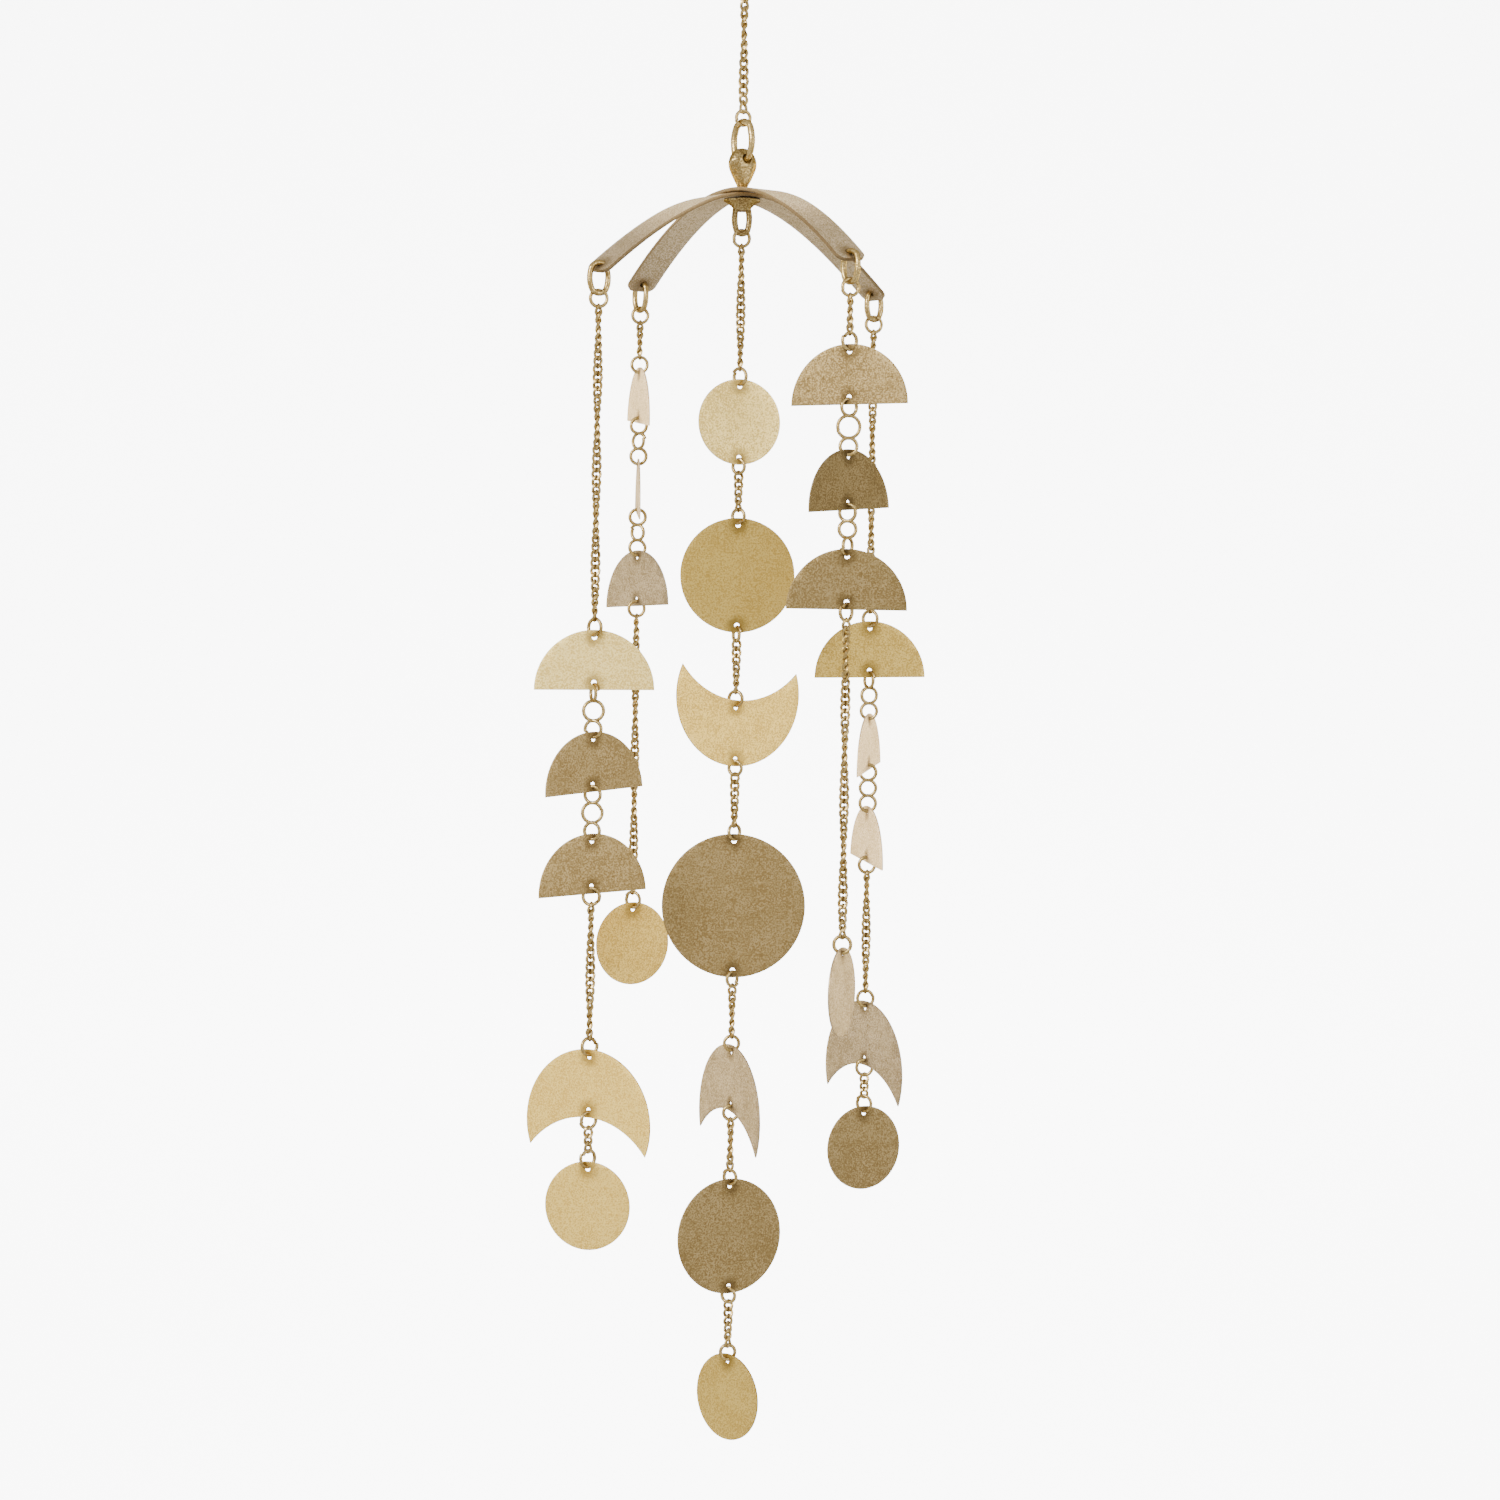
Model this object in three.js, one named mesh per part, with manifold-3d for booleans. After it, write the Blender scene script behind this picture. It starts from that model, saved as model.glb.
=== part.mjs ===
// A hanging mobile of antiqued brass: two arched bars crossed at their crowns, and five strands of
// moon-phase plates hung on jump rings and curb chain. A cast eye on top carries the whole.
// Millimetres, +Z up. The origin is the inside top of the hanging ring, where a hook carries it.
// The front is -Y, and every part hangs at rest below the origin.
import * as THREE from "three";
import { mergeVertices } from "three/addons/utils/BufferGeometryUtils.js";
import Module from "manifold-3d";

const wasm = await Module();
wasm.setup();

const rad = THREE.MathUtils.degToRad;

// How far an arc falls away from its crown at a given distance out
const sag = (out, radius) => radius - Math.sqrt(radius ** 2 - out ** 2);

// Clearances: what only rests or passes through keeps GAP, and fused links bite by BITE.
const GAP = 0.3;
const BITE = 0.2;

// Sheet plates and the holes punched near their edges
const SHEET = 0.7;
const HOLE_RADIUS = 1.2;
const HOLE_INSET = 3.2;
const SMALL_DISC = 38.1;
const MEDIUM_DISC = 51;
const LARGE_DISC = 63.8;
const HALF_DISC = 51.8;
const CRESCENT_DISC = 63.5;
const CRESCENT_HORN = 11.7;
const CRESCENT_WAIST = 29.4;

// Jump rings of round wire, by outside diameter
const RING_WIRE = 0.95;
const RING = 8.8;
const SMALL_RING = 8;
const MIDDLE_RING = 10.2;
const LARGE_RING = 11.2;

// Curb chain of the strands, and the heavier one that the mobile hangs on
const CHAIN = { pitch: 3.2, width: 3.2, depth: 1.7, turnPerLink: 14 };
const HANGING_CHAIN = { pitch: 3.8, width: 3.7, depth: 1.9, turnPerLink: 16 };
const HANGING_LINKS = 14;
const BAND_STEP = 16;

// Ring at the top end, oval link under the chain, and the oval rings at the bar ends
const HANGING_RING = 14;
const HANGING_WIRE = 1.8;
const OVAL_LINK = { width: 14, height: 19.4, wire: 2.2, turn: -48 };
const TIP_RING = { width: 10.5, height: 14.9, wire: 1.8 };

// Crossed bars, bent from flat strip
const SPREAD = 75;
const BAR_TURN = 37.3;
const BAR_WIDTH = 15;
const BAR_THICKNESS = 1.6;
const BAR_CORNER = 4;
const BAR_TIP_HOLE_RADIUS = 1.7;
const BAR_TIP_INSET = 4.6;
const LOWER_BEND = { drop: 36.8, crownRadius: 62 };
const UPPER_BEND = { drop: 34.6, crownRadius: 74 };

// Cast eye above the bars, its shank, and the flared cap with its loop below
const EYE_WIDTH = 13.7;
const EYE_DEPTH = 9;
const EYE_HEIGHT = 18;
const EYE_TURN = 32;
const EYE_HOLE_SLACK = 0.5;
const EYE_HOLE_DROP = 5.5;
const NECK_RADIUS = 2.2;
const SHANK_RADIUS = 1.5;
const CAP_RADIUS = 8.2;
const CAP_THROAT_RADIUS = 3.6;
const CAP_RIM = 0.8;
const CAP_HEIGHT = 5;
const CAP_SOCKET_DEPTH = 3;
const LOOP = { width: 8.5, height: 15.2, wire: 2, turn: 12 };

const brass = new THREE.MeshStandardMaterial({ color: 0xb59a62, metalness: 1, roughness: 0.42 });
const darkBrass = new THREE.MeshStandardMaterial({ color: 0x9b8452, metalness: 1, roughness: 0.5 });
const wireBrass = new THREE.MeshStandardMaterial({ color: 0xc9b07a, metalness: 1, roughness: 0.35 });

// Joins and cuts
function solidOf(geometry) {
  const bare = geometry.clone();
  bare.deleteAttribute("normal");
  bare.deleteAttribute("uv");
  const merged = mergeVertices(bare, 1e-4);
  const vertProperties = merged.attributes.position.array;
  const triVerts = new Uint32Array(merged.index.array);
  return new wasm.Manifold(new wasm.Mesh({ numProp: 3, vertProperties, triVerts }));
}

function geometryOf(solid) {
  const mesh = solid.getMesh();
  const geometry = new THREE.BufferGeometry();
  geometry.setAttribute("position", new THREE.BufferAttribute(mesh.vertProperties, 3));
  geometry.setIndex(new THREE.BufferAttribute(mesh.triVerts, 1));
  geometry.computeVertexNormals();
  return geometry;
}

function fuse(geometries) {
  return geometryOf(geometries.map(solidOf).reduce((whole, piece) => whole.add(piece)));
}

function cut(geometry, tools) {
  return geometryOf(tools.map(solidOf).reduce((left, tool) => left.subtract(tool), solidOf(geometry)));
}

function named(name, geometry, material) {
  const mesh = new THREE.Mesh(geometry, material);
  mesh.name = name;
  return mesh;
}

// A ring or oval link in the XZ plane, its centre at the origin, its wire thicker all round by slack
function ringGeometry({ width, height = width, wire, slack = 0, sides = 4, segments = 6 }) {
  const radius = (width - wire) / 2;
  const ring = new THREE.TorusGeometry(radius, wire / 2 + slack, sides, segments);
  ring.rotateZ(-Math.PI / 2);
  const stretch = (height - width) / 2;
  const position = ring.attributes.position;
  for (let i = 0; i < position.count; i++) {
    const up = position.getY(i);
    const share = THREE.MathUtils.clamp(up / (radius * 0.6), -1, 1);
    position.setY(i, up + share * stretch);
  }
  return ring.rotateX(Math.PI / 2);
}

// A chain's outer shape, a flat band that turns as the links do, from its top down
function chainGeometry(chain, length, turn) {
  const steps = Math.max(1, Math.round(length / BAND_STEP));
  const band = new THREE.BoxGeometry(chain.width, chain.depth, length, 1, 1, steps);
  const position = band.attributes.position;
  const point = new THREE.Vector3();
  for (let i = 0; i < position.count; i++) {
    point.fromBufferAttribute(position, i);
    const angle = rad(turn + (chain.turnPerLink / chain.pitch) * (length / 2 - point.z));
    point.applyAxisAngle(new THREE.Vector3(0, 0, 1), angle);
    position.setXYZ(i, point.x, point.y, point.z - length / 2);
  }
  return band;
}

// Outlines of the plates, their top hole at the origin and the axis of the strand along Y
function discOutline(diameter) {
  const outline = new THREE.Shape();
  outline.absarc(0, HOLE_INSET - diameter / 2, diameter / 2, 0, 2 * Math.PI);
  return { outline, reach: diameter - 2 * HOLE_INSET, steps: 13 };
}

function halfDiscOutline() {
  const radius = HALF_DISC / 2;
  const edge = HOLE_INSET - radius;
  const outline = new THREE.Shape();
  outline.absarc(0, edge, radius, 0, Math.PI);
  return { outline, reach: radius - 2 * HOLE_INSET, steps: 7 };
}

// Horns down: a disc's crown that ends in horns below its centre, and an arc through both horn tips
// and the waist
function crescentOutline() {
  const radius = CRESCENT_DISC / 2;
  const tipAngle = Math.asin(CRESCENT_HORN / radius);
  const tipX = radius * Math.cos(tipAngle);
  const centre = HOLE_INSET - radius;
  const rise = radius + CRESCENT_HORN - CRESCENT_WAIST;
  const inner = (tipX ** 2 + rise ** 2) / (2 * rise);
  const innerCentre = centre - CRESCENT_HORN + rise - inner;
  const sweep = Math.asin(tipX / inner);
  const outline = new THREE.Shape();
  outline.absarc(0, centre, radius, -tipAngle, Math.PI + tipAngle);
  outline.absarc(0, innerCentre, inner, Math.PI / 2 + sweep, Math.PI / 2 - sweep, true);
  return { outline, reach: CRESCENT_WAIST - 2 * HOLE_INSET, steps: 6 };
}

// The same with its horns up, so that the top hole lies under the waist
function risingCrescentOutline() {
  const fallen = crescentOutline();
  const points = fallen.outline.getPoints(fallen.steps);
  const turned = points.map((p) => new THREE.Vector2(-p.x, -p.y - fallen.reach));
  return { outline: new THREE.Shape(turned), reach: fallen.reach, steps: 1 };
}

// A plate turned by tilt in its own plane, while its holes stay on the axis of the strand
function plateGeometry({ outline, reach, steps }, tilt, lowerHole) {
  const middle = new THREE.Vector2(0, -reach / 2);
  const turned = outline.getPoints(steps).map((p) => p.rotateAround(middle, rad(tilt)));
  const shape = new THREE.Shape(turned.filter((p, i) => p.distanceTo(turned.at(i - 1)) > 1e-3));
  const heights = lowerHole ? [0, -reach] : [0];
  for (const height of heights) {
    shape.holes.push(new THREE.Path().absarc(0, height, HOLE_RADIUS, 0, 2 * Math.PI, true));
  }
  const holes = shape.holes.map((hole) => new THREE.Path(hole.getPoints(4).slice(0, -1)));
  shape.holes = holes;
  const sheet = new THREE.ExtrudeGeometry(shape, { depth: SHEET, bevelEnabled: false, curveSegments: 1 });
  return sheet.translate(0, 0, -SHEET / 2).rotateX(Math.PI / 2);
}

// A strand's list runs from its hook down. Angles are in degrees: turn swings a plate, or a chain's
// first link, about the strand, 0 facing the front, and tilt leans a plate in its own plane.
const ring = (width = RING) => ({ kind: "ring", width });
const chain = (links, turn) => ({ kind: "chain", links, turn });
const plate = (name, form, turn, tilt = 0) => ({ kind: "plate", name, form, turn, tilt });
const disc = (name, diameter, turn) => plate(name, discOutline(diameter), turn);
const halfDisc = (name, turn, tilt) => plate(name, halfDiscOutline(), turn, tilt);
const crescent = (name, turn, tilt) => plate(name, crescentOutline(), turn, tilt);
const risingCrescent = (name, turn, tilt) => plate(name, risingCrescentOutline(), turn, tilt);

const tripleRing = (middle = RING) => [ring(), ring(middle), ring()];
const shortChain = (links, turn, width = RING) => [ring(width), chain(links, turn), ring(width)];

const STRANDS = {
  centre: [
    shortChain(17, 60),
    disc("small_disc_upper", SMALL_DISC, 18),
    shortChain(5, 10, SMALL_RING),
    disc("medium_disc_upper", MEDIUM_DISC, 5),
    shortChain(7, 0, SMALL_RING),
    risingCrescent("rising_crescent", 31, -4),
    shortChain(7, -10, SMALL_RING),
    disc("large_disc", LARGE_DISC, -3),
    shortChain(7, 30, SMALL_RING),
    crescent("falling_crescent", -65, -5.8),
    shortChain(7, 50, SMALL_RING),
    disc("medium_disc_lower", MEDIUM_DISC, 27),
    shortChain(6, -5, SMALL_RING),
    disc("small_disc_lower", SMALL_DISC, -45),
  ],
  front_left: [
    shortChain(42, 60),
    halfDisc("half_disc_upper", 0, 0.5),
    tripleRing(MIDDLE_RING),
    halfDisc("half_disc_middle", 39, 4.5),
    tripleRing(MIDDLE_RING),
    halfDisc("half_disc_lower", 30, 3),
    shortChain(18, 60),
    crescent("crescent", -31, -1),
    shortChain(3, 20),
    disc("disc", SMALL_DISC, -15),
  ],
  back_left: [
    shortChain(5, 50),
    halfDisc("half_disc_upper", -77, -6.5),
    tripleRing(),
    halfDisc("half_disc_middle", -86, -7.5),
    tripleRing(),
    halfDisc("half_disc_lower", -55, 1),
    shortChain(40, 80),
    disc("disc", SMALL_DISC, 31),
  ],
  front_right: [
    shortChain(5, 70),
    halfDisc("half_disc_upper", -19, 0.5),
    tripleRing(LARGE_RING),
    halfDisc("half_disc_middle", 47, 4.5),
    tripleRing(),
    halfDisc("half_disc_lower", -8, -0.5),
    shortChain(42, 30),
    disc("disc", SMALL_DISC, 71),
  ],
  back_right: [
    shortChain(40, 60),
    halfDisc("half_disc_upper", 11, 1),
    tripleRing(),
    halfDisc("half_disc_middle", 76, 6),
    tripleRing(),
    halfDisc("half_disc_lower", -76, -5),
    shortChain(17, 60),
    crescent("crescent", -59, -3),
    shortChain(3, 0),
    disc("disc", SMALL_DISC, 28),
  ],
};

// Links below a wire or a hole, fused into one solid. Each ring's plane holds the normal of the
// plate that it passes through, and a middle ring stands square to its neighbours.
function linkTurns(links, above, below) {
  const first = above + 90;
  const last = below + 90;
  const square = (first + last) / 2 + 90;
  return links.map((link, i) => (i === 0 ? first : i === links.length - 1 ? last : square));
}

function linksGeometry(links, turns, sizes = CHAIN) {
  const pieces = [];
  let centre = 0;
  let wire = 0;
  links.forEach((link, i) => {
    if (link.kind === "chain") {
      const length = link.links * sizes.pitch - RING_WIRE;
      pieces.push(chainGeometry(sizes, length, link.turn).translate(0, 0, centre));
      centre -= length;
      wire = 0;
    } else {
      const size = { wire: RING_WIRE, ...link };
      const top = wire ? centre + (wire + size.wire) / 2 - BITE : centre;
      const height = size.height ?? size.width;
      const drop = height - size.wire;
      const one = ringGeometry(size).rotateZ(rad(turns[i])).translate(0, 0, top - drop / 2);
      pieces.push(one);
      centre = top - drop;
      wire = size.wire;
    }
  });
  return { geometry: fuse(pieces), bottom: centre };
}

// Hangs a strand's parts one under another, from the wire of the given height and thickness
function hangStrand(group, name, items, hookWire) {
  const lift = HOLE_RADIUS - RING_WIRE / 2 - GAP;
  let height = (hookWire + RING_WIRE) / 2 + GAP;
  let facing = items[1].turn;
  let count = 0;
  items.forEach((item, i) => {
    if (Array.isArray(item)) {
      count += 1;
      const below = items[i + 1].turn;
      const { geometry, bottom } = linksGeometry(item, linkTurns(item, facing, below));
      const kind = item.some((link) => link.kind === "chain") ? "chain" : "rings";
      const links = named(`${name}_${kind}_${count}`, geometry, wireBrass);
      links.position.z = height;
      group.add(links);
      height += bottom - lift;
    } else {
      const lowerHole = i < items.length - 1;
      const sheet = named(`${name}_${item.name}`, plateGeometry(item.form, item.tilt, lowerHole), brass);
      sheet.position.z = height;
      sheet.rotation.z = rad(item.turn);
      group.add(sheet);
      facing = item.turn;
      height -= item.form.reach + lift;
    }
  });
}

// A bar's middle line, a conic through its crown and its two tip holes, SPREAD out and drop down.
// The crown's own radius says how much of the bend is near the crown.
class BarLine extends THREE.Curve {
  constructor({ drop, crownRadius }, reach) {
    super();
    this.crownRadius = crownRadius;
    this.reach = reach;
    this.straightening = (SPREAD ** 2 / crownRadius - 2 * drop) / drop ** 2;
  }

  rootAt(x) {
    return Math.sqrt(1 + (this.straightening * x ** 2) / this.crownRadius);
  }

  getPoint(t, target = new THREE.Vector3()) {
    const x = this.reach * (2 * t - 1);
    return target.set(x, 0, -(x ** 2) / this.crownRadius / (1 + this.rootAt(x)));
  }

  slopeAt(x) {
    return Math.atan(x / this.crownRadius / this.rootAt(x));
  }
}

// A bar bent from strip, its crown at the origin and its length along X
function barGeometry(bend) {
  const slope = new BarLine(bend, SPREAD).slopeAt(SPREAD);
  const line = new BarLine(bend, SPREAD + BAR_TIP_INSET * Math.cos(slope));
  const halfLength = line.getLength() / 2;
  const cornerSteps = 3;
  const bendSteps = 14;
  const steps = bendSteps + 2 * cornerSteps;
  const strip = new THREE.BoxGeometry(steps, BAR_WIDTH, BAR_THICKNESS, steps, 1, 1);
  const position = strip.attributes.position;
  for (let i = 0; i < position.count; i++) {
    const station = Math.round(position.getX(i));
    const beyond = Math.max(0, Math.abs(station) - bendSteps / 2) * (Math.PI / 2 / cornerSteps);
    const straight = Math.min(1, Math.abs(station) / (bendSteps / 2)) * (halfLength - BAR_CORNER);
    const along = Math.sign(station) * (straight + BAR_CORNER * Math.sin(beyond));
    const share = THREE.MathUtils.clamp(0.5 + along / (2 * halfLength), 0, 1);
    const point = line.getPointAt(share);
    const angle = line.slopeAt(point.x);
    const across = position.getY(i);
    const narrowing = BAR_CORNER * (1 - Math.cos(beyond)) * Math.sign(across);
    const up = position.getZ(i);
    position.setXYZ(i, point.x + up * Math.sin(angle), across - narrowing, point.z + up * Math.cos(angle));
  }
  const drill = (x, size) => {
    const { z } = line.getPoint(0.5 + x / (2 * line.reach));
    return new THREE.CylinderGeometry(size, size, 4 * BAR_THICKNESS, 8)
      .rotateX(Math.PI / 2)
      .rotateY(line.slopeAt(x))
      .translate(x, 0, z);
  };
  const holes = [SPREAD, -SPREAD].map((x) => drill(x, BAR_TIP_HOLE_RADIUS));
  return { geometry: cut(strip, [...holes, drill(0, SHANK_RADIUS + GAP)]), slope };
}

// The cast eye: a flattened pear on a neck, with a shank below its shoulder. Its hole is curved like
// the link through it, with some slack all round.
function eyeGeometry(shankLength) {
  const rows = 8;
  const profile = [new THREE.Vector2(0, 0), new THREE.Vector2(NECK_RADIUS, 0)];
  for (let i = 1; i < rows; i++) {
    const share = i / rows;
    const swell = Math.sin(Math.PI * share ** 1.25) ** 0.8;
    const radius = Math.max(NECK_RADIUS * (1 - share), (EYE_WIDTH / 2) * swell);
    profile.push(new THREE.Vector2(radius, EYE_HEIGHT * share));
  }
  profile.push(new THREE.Vector2(0, EYE_HEIGHT));
  const pear = new THREE.LatheGeometry(profile, 12).rotateX(Math.PI / 2);
  const position = pear.attributes.position;
  for (let i = 0; i < position.count; i++) {
    const swell = THREE.MathUtils.smoothstep(position.getZ(i), 0, EYE_HEIGHT * 0.5);
    const flatten = THREE.MathUtils.lerp(1, EYE_DEPTH / EYE_WIDTH, swell);
    position.setY(i, position.getY(i) * flatten);
  }
  const shank = new THREE.CylinderGeometry(SHANK_RADIUS, SHANK_RADIUS, shankLength + BITE, 10)
    .rotateX(Math.PI / 2)
    .translate(0, 0, (BITE - shankLength) / 2);
  const bore = ringGeometry({ ...OVAL_LINK, slack: EYE_HOLE_SLACK, sides: 5, segments: 12 })
    .rotateZ(rad(OVAL_LINK.turn - EYE_TURN))
    .translate(0, 0, EYE_HEIGHT - EYE_HOLE_DROP + (OVAL_LINK.height - OVAL_LINK.wire) / 2);
  return cut(fuse([pear, shank]), [bore]);
}

// The flared cap, its flat top at the origin, and the loop that the centre strand hangs on
function capGeometry() {
  const rows = 4;
  const profile = [new THREE.Vector2(0, -CAP_HEIGHT), new THREE.Vector2(CAP_THROAT_RADIUS, -CAP_HEIGHT)];
  for (let i = 1; i <= rows; i++) {
    const share = i / rows;
    const radius = THREE.MathUtils.lerp(CAP_THROAT_RADIUS, CAP_RADIUS, share ** 1.8);
    profile.push(new THREE.Vector2(radius, -CAP_HEIGHT + share * (CAP_HEIGHT - CAP_RIM)));
  }
  profile.push(new THREE.Vector2(CAP_RADIUS, 0), new THREE.Vector2(0, 0));
  const flare = new THREE.LatheGeometry(profile, 16).rotateX(Math.PI / 2);
  const loop = ringGeometry({ ...LOOP, sides: 5, segments: 12 })
    .rotateZ(rad(LOOP.turn))
    .translate(0, 0, -CAP_RIM - LOOP.height / 2);
  const bore = SHANK_RADIUS + GAP;
  const socket = new THREE.CylinderGeometry(bore, bore, 2 * CAP_SOCKET_DEPTH, 10);
  return cut(fuse([flare, loop]), [socket.rotateX(Math.PI / 2)]);
}

const mobile = new THREE.Group();

// Hanging ring and chain
const ringTop = HANGING_WIRE / 2;
const hanger = linksGeometry(
  [
    { kind: "ring", width: HANGING_RING, wire: HANGING_WIRE, segments: 10 },
    chain(HANGING_LINKS, 20),
    ring(SMALL_RING),
  ],
  [0, 0, 15],
  HANGING_CHAIN,
);
const hangingChain = named("hanging_chain", hanger.geometry, wireBrass);
hangingChain.position.z = ringTop;
mobile.add(hangingChain);

// Oval link and the cast eye on it
const ovalTop = ringTop + hanger.bottom + (RING_WIRE + OVAL_LINK.wire) / 2 + GAP;
const ovalLink = named("oval_link", ringGeometry({ ...OVAL_LINK, sides: 5, segments: 12 }), darkBrass);
ovalLink.rotation.z = rad(OVAL_LINK.turn);
ovalLink.position.z = ovalTop - (OVAL_LINK.height - OVAL_LINK.wire) / 2;
mobile.add(ovalLink);
const ovalBottom = ovalTop - (OVAL_LINK.height - OVAL_LINK.wire);
const eyeBase = ovalBottom + EYE_HOLE_DROP - EYE_HEIGHT;

// Bars, stacked under the eye, and the cap under them
const upperCrown = eyeBase - GAP - BAR_THICKNESS / 2;
const lowerCrown = upperCrown - BAR_THICKNESS - sag(BAR_WIDTH / 2, UPPER_BEND.crownRadius) - GAP;
const capTop = lowerCrown - BAR_THICKNESS / 2 - sag(CAP_RADIUS, LOWER_BEND.crownRadius) - GAP;
const shankLength = eyeBase - capTop + CAP_SOCKET_DEPTH - GAP;
const eye = named("cast_eye", eyeGeometry(shankLength), darkBrass);
eye.rotation.z = rad(EYE_TURN);
eye.position.z = eyeBase;
const cap = named("flared_cap", capGeometry(), darkBrass);
cap.position.z = capTop;
mobile.add(eye, cap);

const lowerBar = barGeometry(LOWER_BEND);
const upperBar = barGeometry(UPPER_BEND);
const lowerArch = named("lower_arch", lowerBar.geometry, darkBrass);
lowerArch.position.z = lowerCrown;
lowerArch.rotation.z = rad(BAR_TURN);
const upperArch = named("upper_arch", upperBar.geometry, darkBrass);
upperArch.position.z = upperCrown;
upperArch.rotation.z = rad(BAR_TURN - 90);
mobile.add(lowerArch, upperArch);

// Strands: the lower arch runs from front left to back right, the upper from back left to front right
function strandAt(name, bearing, rim, ringTurn) {
  const strand = new THREE.Group();
  strand.position.set(rim.reach * Math.cos(rad(bearing)), rim.reach * Math.sin(rad(bearing)), 0);
  const top = rim.height + GAP + TIP_RING.wire / 2;
  const tipRing = named(`${name}_tip_ring`, ringGeometry({ ...TIP_RING, segments: 10 }), darkBrass);
  tipRing.rotation.z = rad(ringTurn);
  tipRing.position.z = top - (TIP_RING.height - TIP_RING.wire) / 2;
  strand.add(tipRing);
  const parts = new THREE.Group();
  parts.position.z = top - (TIP_RING.height - TIP_RING.wire);
  hangStrand(parts, name, STRANDS[name], TIP_RING.wire);
  strand.add(parts);
  mobile.add(strand);
}

// The outer rim of a bar's tip hole on its upper face, where the oval ring bears
function rimOf(crown, { drop }, { slope }) {
  const [rise, run] = [Math.sin(slope), Math.cos(slope)];
  const reach = SPREAD + BAR_TIP_HOLE_RADIUS * run + (BAR_THICKNESS / 2) * rise;
  const height = crown - drop - BAR_TIP_HOLE_RADIUS * rise + (BAR_THICKNESS / 2) * run;
  return { reach, height };
}

const lowerRim = rimOf(lowerCrown, LOWER_BEND, lowerBar);
const upperRim = rimOf(upperCrown, UPPER_BEND, upperBar);
strandAt("front_left", BAR_TURN + 180, lowerRim, 28);
strandAt("back_right", BAR_TURN, lowerRim, 40);
strandAt("back_left", BAR_TURN + 90, upperRim, -52);
strandAt("front_right", BAR_TURN - 90, upperRim, -47);

const centre = new THREE.Group();
centre.position.z = capTop - CAP_RIM - LOOP.height + LOOP.wire / 2;
hangStrand(centre, "centre", STRANDS.centre, LOOP.wire);
mobile.add(centre);

export default mobile;
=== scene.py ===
import math

import bmesh
import bpy
from mathutils import Matrix, Vector, noise


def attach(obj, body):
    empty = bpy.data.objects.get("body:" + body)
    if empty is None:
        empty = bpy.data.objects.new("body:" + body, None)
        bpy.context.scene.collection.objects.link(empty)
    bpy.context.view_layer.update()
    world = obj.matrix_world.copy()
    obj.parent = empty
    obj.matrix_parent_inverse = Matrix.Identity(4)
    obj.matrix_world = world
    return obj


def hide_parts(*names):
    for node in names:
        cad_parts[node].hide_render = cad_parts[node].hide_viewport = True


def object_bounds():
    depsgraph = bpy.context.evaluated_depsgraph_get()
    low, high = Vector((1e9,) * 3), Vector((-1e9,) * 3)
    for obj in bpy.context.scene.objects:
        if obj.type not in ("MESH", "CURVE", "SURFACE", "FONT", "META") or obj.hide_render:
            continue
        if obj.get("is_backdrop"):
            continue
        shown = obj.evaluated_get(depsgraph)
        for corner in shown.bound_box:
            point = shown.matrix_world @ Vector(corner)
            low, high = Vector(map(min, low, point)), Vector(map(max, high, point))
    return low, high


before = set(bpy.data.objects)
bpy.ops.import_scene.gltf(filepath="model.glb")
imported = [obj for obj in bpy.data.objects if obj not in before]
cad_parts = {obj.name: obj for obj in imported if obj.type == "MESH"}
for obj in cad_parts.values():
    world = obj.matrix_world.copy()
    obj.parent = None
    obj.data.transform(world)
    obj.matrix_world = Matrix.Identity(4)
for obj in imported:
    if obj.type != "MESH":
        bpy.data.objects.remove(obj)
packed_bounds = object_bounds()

# Hanging mobile of antiqued brass. Sizes are in millimetres up to the moment a mesh is placed. The
# frame, the studio and the camera are in metres, with the origin at the inside top of the hanging
# ring and the front along -Y. Turns are in degrees where no comment says radians.
MM = 0.001
GAP = 0.3
BITE = 0.2
SAME_POINT = 1e-3

# The angle from which an edge is shown as a crease
PLATE_CREASE, BAR_CREASE, CAST_CREASE, WIRE_CREASE = 20, 25, 40, 50

# Sheet plates
SHEET = 0.7
EDGE_ROUND = 0.12
HOLE_RADIUS = 1.2
WORN_HOLE_RADIUS = 1.15
HOLE_SIDES = 24
HOLE_INSET = 3.2
SMALL_DISC = 38.1
MEDIUM_DISC = 51
LARGE_DISC = 63.8
HALF_DISC = 51.8
CRESCENT_DISC = 63.5
CRESCENT_HORN = 11.7
CRESCENT_WAIST = 29.4
PLATE_FACET = 6
PLATE_TOP_MARGIN = 4

# Jump rings and chain
RING_WIRE = 0.95
SHOWN_RING_WIRE = 1.6
RING = 8.8
SMALL_RING = 8
MIDDLE_RING = 10.2
LARGE_RING = 11.2
CHAIN = {"pitch": 3.2, "width": 4.8, "wire": 1.45, "turn_per_link": 14}
HANGING_CHAIN = {"pitch": 3.8, "width": 5.0, "wire": 1.55, "turn_per_link": 16}
HANGING_LINKS = 14
CURB_TWIST = 80
CHAIN_SEED = 3

# The stray lean of a chain link, in radians
LINK_WOBBLE = 0.07

# A jump ring's cut: its lap as a share of a turn, its step aside as a share of the wire, its bearing
RING_LAP = 0.012
RING_STEP = 0.7
RING_OPENINGS = (70, 200, -35, 150, 20)

# The turn of the ring on a hook, and how far the rings on plates swing round towards the front
FIRST_RING_TURN = 14
RING_PLAYS = (40, 30, 46, 34, 24)

# Hanger and heavy links

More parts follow.
